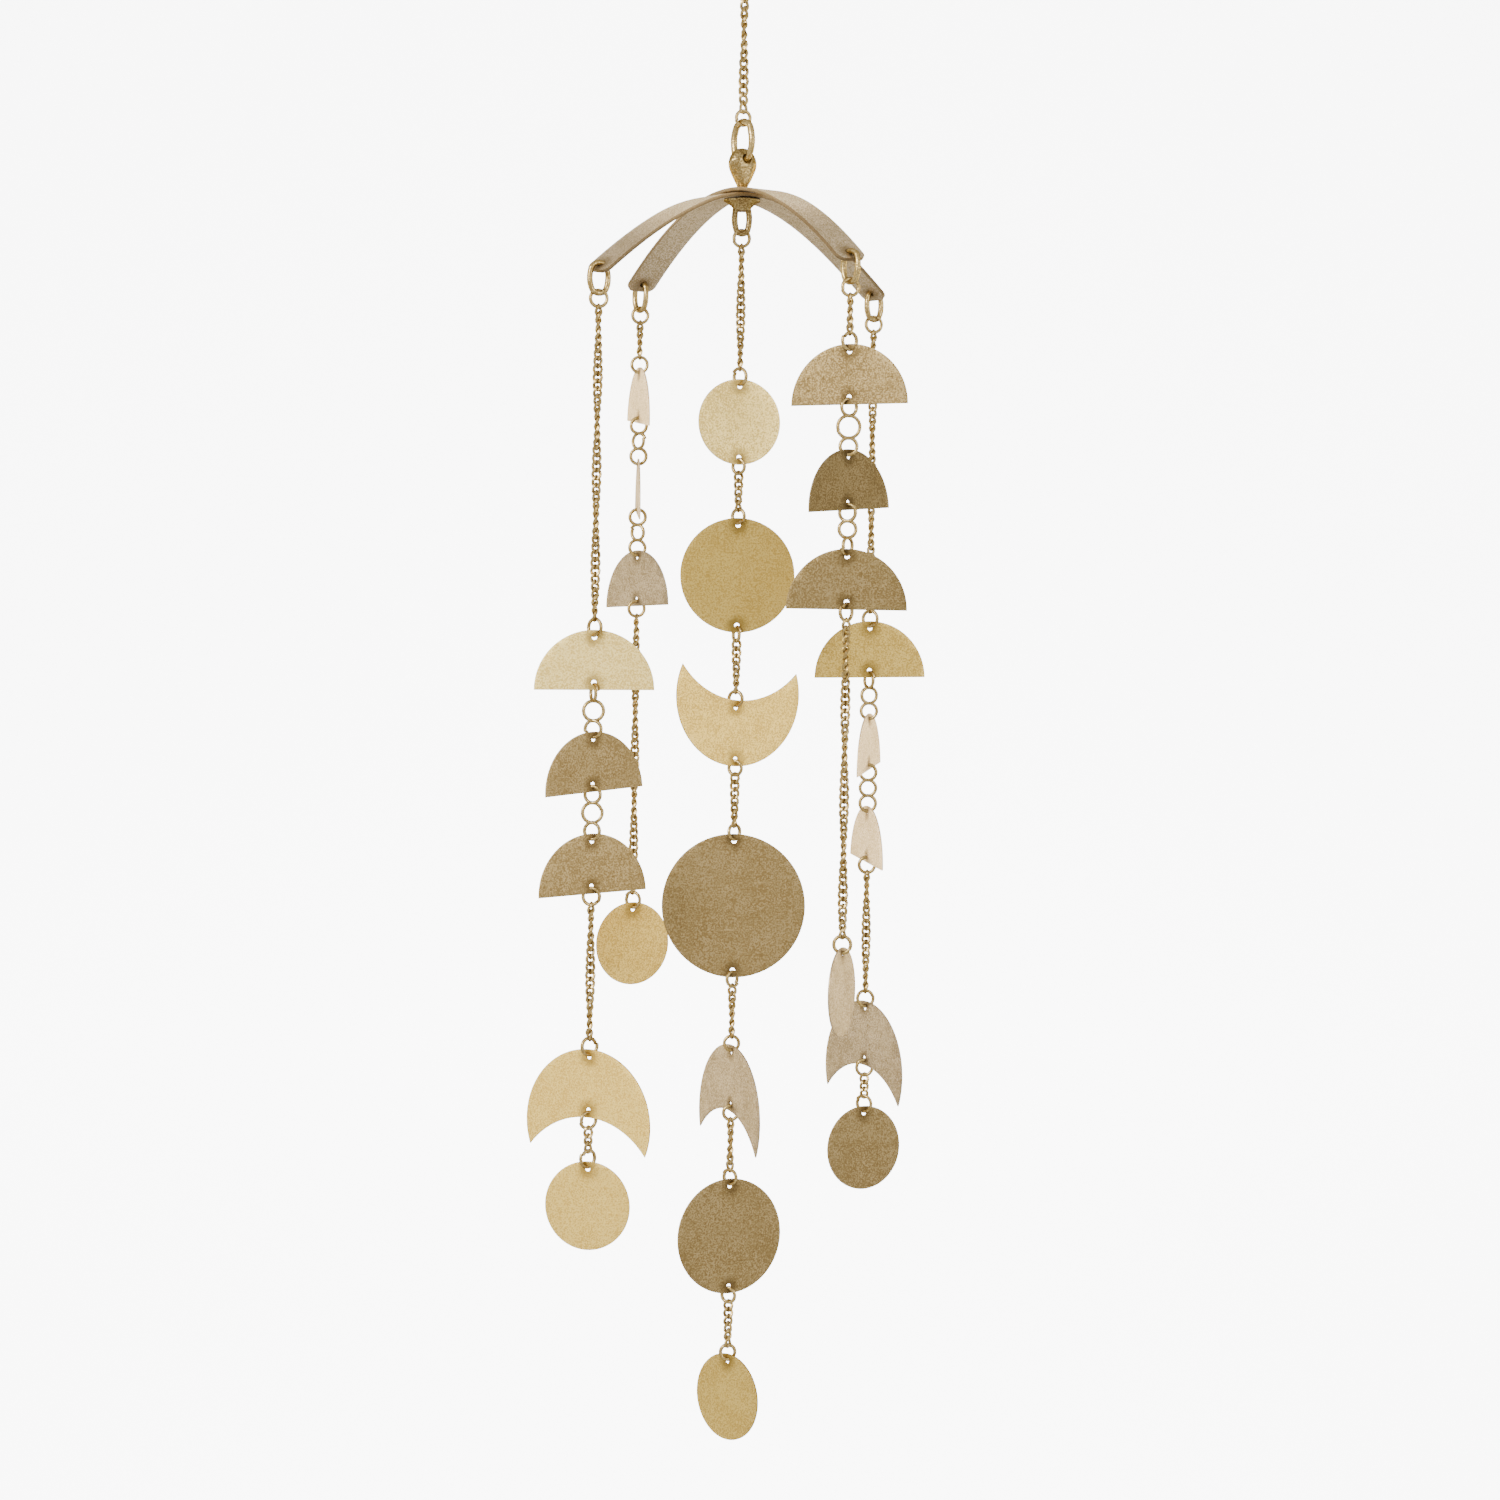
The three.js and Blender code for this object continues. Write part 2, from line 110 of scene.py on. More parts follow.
HANGING_RING = 14
HANGING_WIRE = 1.8
HANGER_TURNS = [0, 0, 15]
HANGER_SEED = 4
OVAL_LINK = {"width": 14, "height": 19.4, "wire": 2.2}
OVAL_TURN = -48
TIP_RING = {"width": 10.5, "height": 14.9, "wire": 1.8}
SHOWN_EXTRA_WIRE = 0.6
OVAL_ROUNDNESS = 0.72
OVAL_STEPS = 64

# Bars bent from strip
SPREAD = 75
BAR_TURN = 37.3
BAR_WIDTH = 15
BAR_THICKNESS = 1.6
BAR_CORNER = 4
BAR_TIP_HOLE_RADIUS = 1.7
BAR_TIP_INSET = 4.6
LOWER_DROP, LOWER_CROWN_RADIUS = 36.8, 62
UPPER_DROP, UPPER_CROWN_RADIUS = 34.6, 74
BAR_FACET_LENGTH, BAR_FACET_WIDTH = 2.2, 3.5

# The twist of the arm along -X and of the arm along +X, and how far out it starts and is full
LOWER_TWISTS = (9, 0)
UPPER_TWISTS = (0, 5)
TWIST_START, TWIST_FULL = 8, 40

# Painted highlight and shade on a bar: how bright its top face and its underside are painted at its crown
# and its tips, and where along the arm it fades
TOP_FACE_PAINTED_HIGHLIGHT = {"crown": 2.0, "tip": 0.95, "fades": (30, 64)}
UNDERSIDE_PAINTED_SHADE = {"crown": 0.92, "tip": 0.8, "fades": (30, 70)}

# Cast eye, and the flared cap with its loop
EYE_WIDTH = 13.7
EYE_DEPTH = 9
EYE_HEIGHT = 18
EYE_TURN = 32
EYE_HOLE_SLACK = 0.5
EYE_HOLE_DROP = 5.5
EYE_HOLE_FLARE = 0.9
EYE_MOUTH_RADIUS = 2.6
EYE_MOUTH_REACH = 5.0
EYE_MOUTH_LIFT = 0.6
EYE_MOUTH_TURN = -12
NECK_RADIUS = 2.2
SHANK_RADIUS = 1.5
CAP_RADIUS = 8.2
CAP_THROAT_RADIUS = 3.6
CAP_RIM = 0.8
CAP_HEIGHT = 5
CAP_SOCKET_DEPTH = 3
CAP_SCALLOPS = 9
CAP_SCALLOP_DEPTH = 0.07
LOOP = {"width": 8.5, "height": 15.2, "wire": 2.0}
LOOP_TURN = 12

# Shares of the eye's height: where it is widest, and the middle that its flats are measured from
EYE_WIDEST = 0.6
EYE_MIDDLE = 0.58


def smooth(low, high, value):
    share = min(1, max(0, (value - low) / (high - low)))
    return share * share * (3 - 2 * share)


def sag(out, radius):
    return radius - math.sqrt(radius**2 - out**2)


# Node boards


class Wire:
    """A node's output, which can stand in a sum as a number does."""

    def __init__(self, board, socket):
        self.board = board
        self.socket = socket

    def __add__(self, other):
        return self.board.maths("ADD", self, other)

    def __radd__(self, other):
        return self.board.maths("ADD", other, self)

    def __sub__(self, other):
        return self.board.maths("SUBTRACT", self, other)

    def __rsub__(self, other):
        return self.board.maths("SUBTRACT", other, self)

    def __mul__(self, other):
        return self.board.maths("MULTIPLY", self, other)

    def __rmul__(self, other):
        return self.board.maths("MULTIPLY", other, self)

    def __truediv__(self, other):
        return self.board.maths("DIVIDE", self, other)

    def __rtruediv__(self, other):
        return self.board.maths("DIVIDE", other, self)

    def __neg__(self):
        return self.board.maths("MULTIPLY", self, -1)


class Board:
    """A node tree being wired up."""

    def __init__(self, tree):
        self.tree = tree

    def node(self, kind, settings=None, sockets=None, out=0):
        made = self.tree.nodes.new(kind)
        for name, value in (settings or {}).items():
            setattr(made, name, value)
        for name, value in (sockets or {}).items():
            if isinstance(value, Wire):
                self.tree.links.new(value.socket, made.inputs[name])
            else:
                made.inputs[name].default_value = value
        return Wire(self, made.outputs[out]) if made.outputs else None

    def maths(self, operation, *values):
        sockets = dict(enumerate(values))
        return self.node("ShaderNodeMath", {"operation": operation}, sockets)

    def ramp(self, value, low, high):
        """0 below low and 1 above high, with a soft passage between them."""
        sockets = {"Value": value, "From Min": low, "From Max": high}
        return self.node("ShaderNodeMapRange", {"interpolation_type": "SMOOTHSTEP"}, sockets)

    def vector(self, operation, *values, sockets=None, out=0):
        sockets = dict(enumerate(values)) | (sockets or {})
        return self.node("ShaderNodeVectorMath", {"operation": operation}, sockets, out)

    def parts(self, vector):
        split = self.tree.nodes.new("ShaderNodeSeparateXYZ")
        self.tree.links.new(vector.socket, split.inputs[0])
        return [Wire(self, out) for out in split.outputs]

    def combined(self, x, y, z):
        return self.node("ShaderNodeCombineXYZ", None, {"X": x, "Y": y, "Z": z})

    def mixed(self, share, one, other):
        """One colour passing into the other."""
        return self.node("ShaderNodeMix", {"data_type": "RGBA"}, {0: share, 6: one, 7: other}, 2)

    def cloud(self, place, scale, detail, roughness, distortion=0.0):
        sockets = {
            "Vector": place,
            "Scale": scale,
            "Detail": detail,
            "Roughness": roughness,
            "Distortion": distortion,
        }
        return self.node("ShaderNodeTexNoise", None, sockets)


# Materials


def rgb(red, green, blue):
    return (red, green, blue, 1.0)


# The tint of the sheen at a grazing angle
SHEET_EDGE = (0.62, 0.53, 0.4)
WIRE_EDGE = (0.3, 0.22, 0.12)

# What the fresh metal's colour is multiplied by where it is stained, dirty or worn
STAIN = (0.58, 0.52, 0.42)
DIRT = (0.3, 0.25, 0.18)
WORN = (1.0, 1.02, 1.15)
MOST_LIFT = 1.3


def tinted(colour, tint):
    return [part * share for part, share in zip(colour, tint)]


def brass(name, fresh, stained, rough=0.45, metallic=0.85, soiled=None, edge=SHEET_EDGE, dark_rim=False):
    """Antiqued brass: fresh metal clouded with stain, mottled, speckled and worn pale. Sheet pieces,
    which carry flat coordinates, are scratched too, and dirty as far from a hole as soiled says."""
    stain = tinted(fresh, STAIN)
    dirt = tinted(fresh, DIRT)
    lift = min(MOST_LIFT, 1.0 / max(fresh))
    worn = tinted([part * lift for part in fresh], WORN)
    material = bpy.data.materials.new(name)
    material.use_nodes = True
    tree = material.node_tree
    tree.nodes.clear()
    board = Board(tree)
    place = board.node("ShaderNodeTexCoord", None, None, "Object")
    place = board.vector("MULTIPLY", place, (1000.0, 1000.0, 1000.0))
    clouds = board.cloud(place, scale=0.045, detail=4.0, roughness=0.6, distortion=0.7)
    mottle = board.cloud(place, scale=0.28, detail=4.0, roughness=0.62, distortion=0.4)
    grain = board.cloud(place, scale=1.5, detail=1.0, roughness=0.5)
    wear = board.cloud(place, scale=0.07, detail=3.0, roughness=0.6, distortion=1.0)
    spots = board.cloud(place, scale=0.75, detail=2.0, roughness=0.5)
    pits = board.cloud(place, scale=1.9, detail=2.0, roughness=0.5)
    tone = board.ramp(clouds * 0.25 + mottle * 0.15 + grain * 0.6, 0.42, 0.58)
    colour = board.mixed(tone * stained, rgb(*fresh), rgb(*stain))
    pale = board.ramp(wear * 0.3 + (1.0 - grain) * 0.7, 0.5, 0.6)
    colour = board.mixed(pale * 0.7, colour, rgb(*worn))
    dots = board.ramp(spots, 0.62, 0.7)
    colour = board.mixed(dots * 0.4, colour, rgb(*stain))
    specks = board.ramp(pits, 0.66, 0.74)
    colour = board.mixed(specks * 0.5, colour, rgb(*dirt))
    rough_here = tone * 0.12 + mottle * 0.1 + dots * 0.1 + (rough - 0.1)
    bump = grain * 0.5 + mottle * 0.5
    if soiled:
        flat = board.node("ShaderNodeUVMap", {"uv_map": "flat"})
        to_hole = board.node("ShaderNodeUVMap", {"uv_map": "hole"})
        rim = board.node("ShaderNodeAttribute", {"attribute_name": "rim"}, None, "Fac")
        painted_light = board.node("ShaderNodeAttribute", {"attribute_name": "painted_light"}, None, "Fac")
        # Two sets of scratches, their turns in radians
        for turn, scale, shade, share in (
            (0.5, (0.045, 1.5, 1.0), worn, 0.65),
            (2.05, (0.05, 1.7, 1.0), stain, 0.8),
        ):
            stretched = {"Vector": flat, "Rotation": (0.0, 0.0, turn), "Scale": scale}
            rub = board.node("ShaderNodeMapping", None, stretched)
            scratch = board.ramp(board.cloud(rub, scale=1.0, detail=3.0, roughness=0.62), 0.62, 0.69)
            colour = board.mixed(scratch * share, colour, rgb(*shade))
            bump = bump + scratch * 0.3
        near = board.vector("LENGTH", to_hole, out="Value") + mottle * 5.0 - 2.5
        soil = 1.0 - board.ramp(near, 1.2, soiled)
        colour = board.mixed(soil * 0.8, colour, rgb(*dirt))
        # Rims are drawn darker on pieces with dark_rim set, and paler on the rest
        rim_shade, rim_share = (dirt, 0.9) if dark_rim else (worn, 0.6)
        colour = board.mixed(rim * rim_share, colour, rgb(*rim_shade))
        # Painted light: the colour is scaled by each point's painted brightness, a painted reflection on
        # plates and a painted highlight and shade on bars
        colour = board.vector("SCALE", colour, sockets={"Scale": painted_light})
    relief = board.node("ShaderNodeBump", None, {"Strength": 0.3, "Distance": 0.0003, "Height": bump})
    finish = {
        "Base Color": colour,
        "Metallic": metallic,
        "Roughness": rough_here,
        "Specular Tint": rgb(*edge),
        "Normal": relief,
    }
    surface = board.node("ShaderNodeBsdfPrincipled", None, finish)
    board.node("ShaderNodeOutputMaterial", None, {"Surface": surface})
    return material


SLOTS = {
    "pale_brass": brass("Pale brass sheet", (1.0, 0.76, 0.25), stained=0.8, soiled=6.0, dark_rim=True),
    "golden_brass": brass("Golden brass sheet", (1.0, 0.69, 0.165), stained=0.75, soiled=6.5, dark_rim=True),
    "olive_brass": brass("Olive brass sheet", (0.28, 0.196, 0.077), stained=0.75, soiled=6.0),
    # The grey sheet is painted reflection of the pale studio, given to plates seen edge-on
    "grey_brass": brass("Grey brass sheet", (0.66, 0.49, 0.26), stained=0.6, soiled=5.0),
    "bar_brass": brass("Bar strip brass", (0.5, 0.39, 0.23), stained=0.7, soiled=7.0, dark_rim=True),
    "cast_brass": brass(
        "Cast brass", (0.31, 0.22, 0.085), stained=1.0, rough=0.33, metallic=0.95, edge=WIRE_EDGE
    ),
    "chain_brass": brass(
        "Chain brass wire", (0.42, 0.3, 0.115), stained=0.8, rough=0.24, metallic=0.95, edge=WIRE_EDGE
    ),
}

# Painted reflection: how bright each plate's metal is painted beside the others of its finish, standing for
# how its turn catches the studio light
PLATE_PAINTED_LIGHT = {
    "centre_medium_disc_upper": 0.54,
    "centre_small_disc_lower": 0.62,
    "front_left_disc": 0.82,
    "back_left_disc": 0.92,
    "back_right_half_disc_upper": 0.58,
    "back_left_half_disc_upper": 1.15,
    "front_left_half_disc_middle": 1.25,
    "front_left_half_disc_lower": 1.25,
    "front_right_half_disc_upper": 0.8,
    "front_right_half_disc_middle": 0.68,
    "front_right_half_disc_lower": 0.78,
    "front_right_disc": 0.5,
    "centre_falling_crescent": 0.42,
    "back_left_half_disc_lower": 0.42,
    "back_right_crescent": 0.42,
}

# Finishes of the plates, partly their own metal and partly painted reflection of how each faces the light:
# grey goes to plates turned edge-on
PALE = ["centre_small_disc_upper", "front_left_half_disc_upper"]
GOLDEN = [
    "centre_rising_crescent",
    "front_left_crescent",
    "back_left_disc",
    "front_left_disc",
    "centre_small_disc_lower",
    "back_right_half_disc_upper",
    "centre_medium_disc_upper",
]
GREY = [
    "back_left_half_disc_upper",
    "back_left_half_disc_middle",
    "back_left_half_disc_lower",
    "back_right_half_disc_middle",
    "back_right_half_disc_lower",
    "front_right_disc",
    "centre_falling_crescent",
    "back_right_crescent",
]


def plate_slot(node):
    if node in PALE:
        return "pale_brass"
    if node in GOLDEN:
        return "golden_brass"
    return "grey_brass" if node in GREY else "olive_brass"


# Placing finished pieces


def keep(mesh, name, node, slot, place, crease):
    """The mesh, modelled in millimetres, becomes the piece that stands for the CAD node."""
    mesh.transform(Matrix.Scale(MM, 4) @ place)
    mesh.materials.clear()
    mesh.materials.append(SLOTS[slot])
    mesh.polygons.foreach_set("use_smooth", [True] * len(mesh.polygons))
    mesh.set_sharp_from_angle(angle=math.radians(crease))
    mesh.update()
    mesh.name = name
    piece = bpy.data.objects.new(name, mesh)
    bpy.context.scene.collection.objects.link(piece)
    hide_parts(node)
    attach(piece, "root")


def turned(degrees, x, y, z):
    return Matrix.Translation((x, y, z)) @ Matrix.Rotation(math.radians(degrees), 4, "Z")


def closed(work, name):
    """A finished mesh from the work in hand, its doubled points merged and its faces outward."""
    bmesh.ops.remove_doubles(work, verts=work.verts, dist=SAME_POINT)
    bmesh.ops.recalc_face_normals(work, faces=work.faces)
    mesh = bpy.data.meshes.new(name)
    work.to_mesh(mesh)
    work.free()
    return mesh


def joined(meshes, name):
    work = bmesh.new()
    for mesh in meshes:
        work.from_mesh(mesh)
        bpy.data.meshes.remove(mesh)
    bmesh.ops.recalc_face_normals(work, faces=work.faces)
    mesh = bpy.data.meshes.new(name)
    work.to_mesh(mesh)
    work.free()
    return mesh


def evaluated(thing):
    """The mesh of a helper object, with any modifier worked out. The helper goes."""
    view = bpy.context.evaluated_depsgraph_get()
    view.update()
    mesh = bpy.data.meshes.new_from_object(thing.evaluated_get(view))
    bpy.data.objects.remove(thing)
    return mesh


def helper(data, name="helper"):
    thing = bpy.data.objects.new(name, data)
    bpy.context.scene.collection.objects.link(thing)
    return thing


def carved(mesh, tool, operation):
    """The mesh joined with the tool, or with the tool cut out of it."""
    thing, other = helper(mesh, "blank"), helper(tool, "cutter")
    modifier = thing.modifiers.new("carve", "BOOLEAN")
    modifier.operation = operation
    modifier.solver = "EXACT"
    modifier.object = other
    mesh = evaluated(thing)
    bpy.data.objects.remove(other)
    return mesh


# Sheet metal


def arc(radius, centre_height, start, end, steps):
    """Points from start to end, in degrees, both included."""
    points = []
    for i in range(steps + 1):
        angle = math.radians(start + (end - start) * i / steps)
        points.append((radius * math.cos(angle), centre_height + radius * math.sin(angle)))
    return points


def sheet_metal(outline, holes, thickness):
    """A flat piece punched from sheet, in the XY plane, its outline kept through the rounded edge."""
    curve = bpy.data.curves.new("outline", "CURVE")
    curve.dimensions = "2D"
    curve.fill_mode = "BOTH"
    curve.bevel_depth = EDGE_ROUND
    curve.bevel_resolution = 2
    curve.offset = -EDGE_ROUND
    curve.extrude = thickness / 2 - EDGE_ROUND
    loops = [outline]
    for x, y, radius in holes:
        loop = [math.tau * i / HOLE_SIDES for i in range(HOLE_SIDES)]
        loops.append([(x + radius * math.cos(a), y + radius * math.sin(a)) for a in loop])
    for loop in loops:
        spline = curve.splines.new("POLY")
        spline.points.add(len(loop) - 1)
        for point, (x, y) in zip(spline.points, loop):
            point.co = (x, y, 0, 1)
        spline.use_cyclic_u = True
    mesh = evaluated(helper(curve))
    work = bmesh.new()
    work.from_mesh(mesh)
    bpy.data.meshes.remove(mesh)
    return work


def marked(work, holes, painted_light=1.0):
    """Marks every point for the finish: flat coordinates, way to the nearest hole, rim and painted light, a
    brightness that stands for how the piece catches the light.
    """
    bmesh.ops.remove_doubles(work, verts=work.verts, dist=SAME_POINT)
    flat = work.loops.layers.uv.new("flat")
    hole = work.loops.layers.uv.new("hole")
    rim = work.verts.layers.float.new("rim")
    painted_light_layer = work.verts.layers.float.new("painted_light")
    half = max(v.co.z for v in work.verts)
    for vert in work.verts:
        vert[painted_light_layer] = painted_light
        vert[rim] = 1.0 if abs(vert.co.z) < half - SAME_POINT else 0.0
    for face in work.faces:
        middle = face.calc_center_median()
        x, y, _ = min(holes, key=lambda h: math.hypot(middle.x - h[0], middle.y - h[1]))
        for loop in face.loops:
            loop[flat].uv = (loop.vert.co.x, loop.vert.co.y)
            loop[hole].uv = (loop.vert.co.x - x, loop.vert.co.y - y)


def sliced(work, stations, direction):
    """Cuts the faces along lines, so that they can bend or be shaded finely."""
    for station in stations:
        normal = Vector((0, 0, 0))
        normal[direction] = 1
        point = normal * station
        geometry = work.verts[:] + work.edges[:] + work.faces[:]
        bmesh.ops.bisect_plane(work, geom=geometry, dist=1e-4, plane_co=point, plane_no=normal)


def steps_between(low, high, pitch):
    """The middles of equal steps about as long as the pitch."""
    count = max(1, int((high - low) / pitch))
    return [low + (high - low) * (i + 0.5) / count for i in range(count)]


# Outlines of the plates: their top hole is at the origin, and the strand's axis runs along Y.


def disc_form(diameter):
    radius = diameter / 2
    outline = arc(radius, HOLE_INSET - radius, 0, 360, 128)[:-1]
    return outline, diameter - 2 * HOLE_INSET


def half_disc_form():
    radius = HALF_DISC / 2
    return arc(radius, HOLE_INSET - radius, 0, 180, 72), radius - 2 * HOLE_INSET


def crescent_form():
    radius = CRESCENT_DISC / 2
    tip = math.asin(CRESCENT_HORN / radius)
    tip_x = radius * math.cos(tip)
    centre = HOLE_INSET - radius
    rise = radius + CRESCENT_HORN - CRESCENT_WAIST
    inner = (tip_x**2 + rise**2) / (2 * rise)
    inner_centre = centre - CRESCENT_HORN + rise - inner
    sweep = math.degrees(math.asin(tip_x / inner))
    tip = math.degrees(tip)
    outer = arc(radius, centre, -tip, 180 + tip, 96)
    hollow = arc(inner, inner_centre, 90 + sweep, 90 - sweep, 56)[1:-1]
    return outer + hollow, CRESCENT_WAIST - 2 * HOLE_INSET


def rising_crescent_form():
    outline, reach = crescent_form()
    return [(-x, -y - reach) for x, y in outline], reach


def hang_plate(strand, name, form, turn, tilt, x, y, hung_at, lower_hole):
    outline, reach = form
    lean = Matrix.Rotation(math.radians(tilt), 2)
    middle = Vector((0, -reach / 2))
    leaning = [tuple(middle + lean @ (Vector(p) - middle)) for p in outline]
    heights = [0, -reach] if lower_hole else [0]
    holes = [(0, height, WORN_HOLE_RADIUS) for height in heights]
    work = sheet_metal(leaning, holes, SHEET)
    low = min(p[1] for p in leaning)
    wide = max(abs(p[0]) for p in leaning)
    sliced(work, steps_between(low, HOLE_INSET + PLATE_TOP_MARGIN, PLATE_FACET), 1)
    sliced(work, steps_between(-wide, wide, PLATE_FACET), 0)
    node = f"{strand}_{name}"
    # Each plate carries its painted reflection brightness
    marked(work, holes, PLATE_PAINTED_LIGHT.get(node, 1.0))
    upright = Matrix.Rotation(math.radians(90), 4, "X")
    place = turned(turn, x, y, hung_at) @ upright
    keep(closed(work, node), f"plate_{node}", node, plate_slot(node), place, PLATE_CREASE)
    return reach


# Links


def link_board(name, numbers):
    """A geometry node tree with named inputs, its board, and the inputs as wires."""
    tree = bpy.data.node_groups.new(name, "GeometryNodeTree")
    tree.interface.new_socket(name="Geometry", in_out="INPUT", socket_type="NodeSocketGeometry")
    kinds = {int: "NodeSocketInt", float: "NodeSocketFloat"}
    for label, kind in numbers.items():
        tree.interface.new_socket(name=label, in_out="INPUT", socket_type=kinds[kind])
    tree.interface.new_socket(name="Brass", in_out="INPUT", socket_type="NodeSocketMaterial")
    tree.interface.new_socket(name="Geometry", in_out="OUTPUT", socket_type="NodeSocketGeometry")
    start = tree.nodes.new("NodeGroupInput")
    board = Board(tree)
    return board, {out.name: Wire(board, out) for out in start.outputs if out.name}


def end_board(board, geometry, material):
    real = board.node("GeometryNodeRealizeInstances", None, {0: geometry})
    dressed = board.node("GeometryNodeSetMaterial", None, {"Geometry": real, "Material": material})
    board.node("NodeGroupOutput", None, {0: dressed})
    return board.tree


def curb_chain_tree():
    """A run of curb links from the origin down, each twisted along its height and all turning slowly."""
    board, given = link_board(
        "Curb chain",
        {
            "Links": int,
            "Pitch": float,
            "Width": float,
            "Wire": float,
            "First turn": float,
            "Turn per link": float,
            "Twist": float,
            "Wobble": float,
            "Seed": int,
        },
    )
    circle = board.node("GeometryNodeCurvePrimitiveCircle", None, {"Resolution": 12, "Radius": 1.0})
    across, up, _ = board.parts(board.node("GeometryNodeInputPosition"))
    out = across * (given["Width"] - given["Wire"]) / 2
    twist = up * given["Twist"] / 2
    x = out * board.maths("COSINE", twist)
    y = out * board.maths("SINE", twist)
    oval = board.combined(x, y, up * (given["Pitch"] + given["Wire"]) / 2)
    line = board.node("GeometryNodeSetPosition", None, {"Geometry": circle, "Position": oval})
    section = board.node(
        "GeometryNodeCurvePrimitiveCircle", None, {"Resolution": 5, "Radius": given["Wire"] / 2}
    )
    link = board.node("GeometryNodeCurveToMesh", None, {"Curve": line, "Profile Curve": section})
    link = board.node("GeometryNodeSetShadeSmooth", None, {"Geometry": link})
    row = board.node(
        "GeometryNodeMeshLine",
        None,
        {"Count": given["Links"], "Offset": board.combined(0.0, 0.0, -given["Pitch"])},
    )
    index = board.node("GeometryNodeInputIndex")
    swing = board.node(
        "FunctionNodeRandomValue",
        {"data_type": "FLOAT_VECTOR"},
        {0: (-1.0, -1.0, -1.0), 1: (1.0, 1.0, 1.0), "Seed": given["Seed"]},
    )
    lean, tip, spin = [part * given["Wobble"] for part in board.parts(swing)]
    turn = given["First turn"] + given["Turn per link"] * index + spin
    rotation = board.node("FunctionNodeEulerToRotation", None, {0: board.combined(lean, tip, turn)})
    chain = board.node(
        "GeometryNodeInstanceOnPoints", None, {"Points": row, "Instance": link, "Rotation": rotation}
    )
    return end_board(board, chain, given["Brass"])


def jump_ring_tree():
    """An open ring of round wire in the XZ plane, its cut ends lying side by side."""
    board, given = link_board(
        "Jump ring",
        {"Width": float, "Wire": float, "Lap": float, "Step": float, "Opening": float},
    )
    radius = (given["Width"] - given["Wire"]) / 2
    spiral = board.node(
        "GeometryNodeCurveSpiral",
        None,
        {
            "Resolution": 28,
            "Rotations": 1.0 + given["Lap"],
            "Start Radius": radius,
            "End Radius": radius,
            "Height": given["Step"],
        },
    )
    around, up, along = board.parts(board.node("GeometryNodeInputPosition"))
    cosine = board.maths("COSINE", given["Opening"])
    sine = board.maths("SINE", given["Opening"])
    x = around * cosine - up * sine
    z = around * sine + up * cosine
    placed = board.combined(x, along - given["Step"] / 2, z)
    line = board.node("GeometryNodeSetPosition", None, {"Geometry": spiral, "Position": placed})
    section = board.node(
        "GeometryNodeCurvePrimitiveCircle", None, {"Resolution": 8, "Radius": given["Wire"] / 2}
    )
    ring = board.node(
        "GeometryNodeCurveToMesh", None, {"Curve": line, "Profile Curve": section, "Fill Caps": True}
    )
    ring = board.node("GeometryNodeSetShadeSmooth", None, {"Geometry": ring})
    return end_board(board, ring, given["Brass"])


CURB_CHAIN = curb_chain_tree()
JUMP_RING = jump_ring_tree()


def grown(tree, values):
    """The mesh that a node tree makes with these inputs."""
    thing = helper(bpy.data.meshes.new("carrier"))
    modifier = thing.modifiers.new("links", "NODES")
    modifier.node_group = tree
    for item in tree.interface.items_tree:
        if item.in_out == "INPUT" and item.name in values:
            modifier[item.identifier] = values[item.name]
    return evaluated(thing)


def chain_mesh(size, links, turn, seed):
    values = {
        "Links": links,
        "Pitch": float(size["pitch"]),
        "Width": float(size["width"]),
        "Wire": float(size["wire"]),
        "First turn": math.radians(turn),
        "Turn per link": math.radians(size["turn_per_link"]),
        "Twist": math.radians(CURB_TWIST),
        "Wobble": LINK_WOBBLE,
        "Seed": seed,
        "Brass": SLOTS["chain_brass"],
    }
    return grown(CURB_CHAIN, values)


def ring_mesh(width, wire, opening):
    values = {
        "Width": float(width),
        "Wire": float(wire),
        "Lap": RING_LAP,
        "Step": wire * RING_STEP,
        "Opening": math.radians(opening),
        "Brass": SLOTS["chain_brass"],
    }
    return grown(JUMP_RING, values)


def ring(width=RING, wire=RING_WIRE):
    return {"width": width, "wire": wire}


def chain(links, turn):
    return {"links": links, "turn": turn}


def ring_turn(facing, play):
    """A ring stands square to the plate it passes through, but for the play by which it swings round
    towards the front."""
    square = (facing + 180) % 180 - 90
    return square - math.copysign(min(play, abs(square)), square)


def link_turns(links, above, below, seed):
    """The turn of each link in a run. Above is None for a run that hangs on a hook, not on a plate."""
    plays = len(RING_PLAYS)
    first = FIRST_RING_TURN if above is None else ring_turn(above, RING_PLAYS[seed % plays])
    last = ring_turn(below, RING_PLAYS[(seed + 2) % plays])
    between = (above or 0) / 4 + below / 4
    return [first] + [between] * (len(links) - 2) + [last]


def hang_links(name, node, links, turns, x, y, height, size=CHAIN, seed=0):
    """Rings and chain under one wire, as one piece. The answer is how far down the last wire lies."""
    meshes = []
    centre, wire = 0.0, 0.0
    for i, link in enumerate(links):
        if "links" in link:
            mesh = chain_mesh(size, link["links"], link["turn"], seed + CHAIN_SEED)
            mesh.transform(Matrix.Translation((0, 0, centre + (RING_WIRE - size["pitch"]) / 2)))
            meshes.append(mesh)
            centre -= link["links"] * size["pitch"] - RING_WIRE
            wire = 0.0
        else:
            top = centre + (wire + link["wire"]) / 2 - BITE if wire else centre
            drop = link["width"] - link["wire"]
            opening = RING_OPENINGS[(i + seed) % len(RING_OPENINGS)]
            shown = max(link["wire"], SHOWN_RING_WIRE)
            mesh = ring_mesh(link["width"], shown, opening)
            mesh.transform(turned(turns[i], 0, 0, top - drop / 2))
            meshes.append(mesh)
            centre = top - drop
            wire = link["wire"]
    place = Matrix.Translation((x, y, height))
    keep(joined(meshes, name), name, node, "chain_brass", place, WIRE_CREASE)
    return centre


# Strands, from the hook down


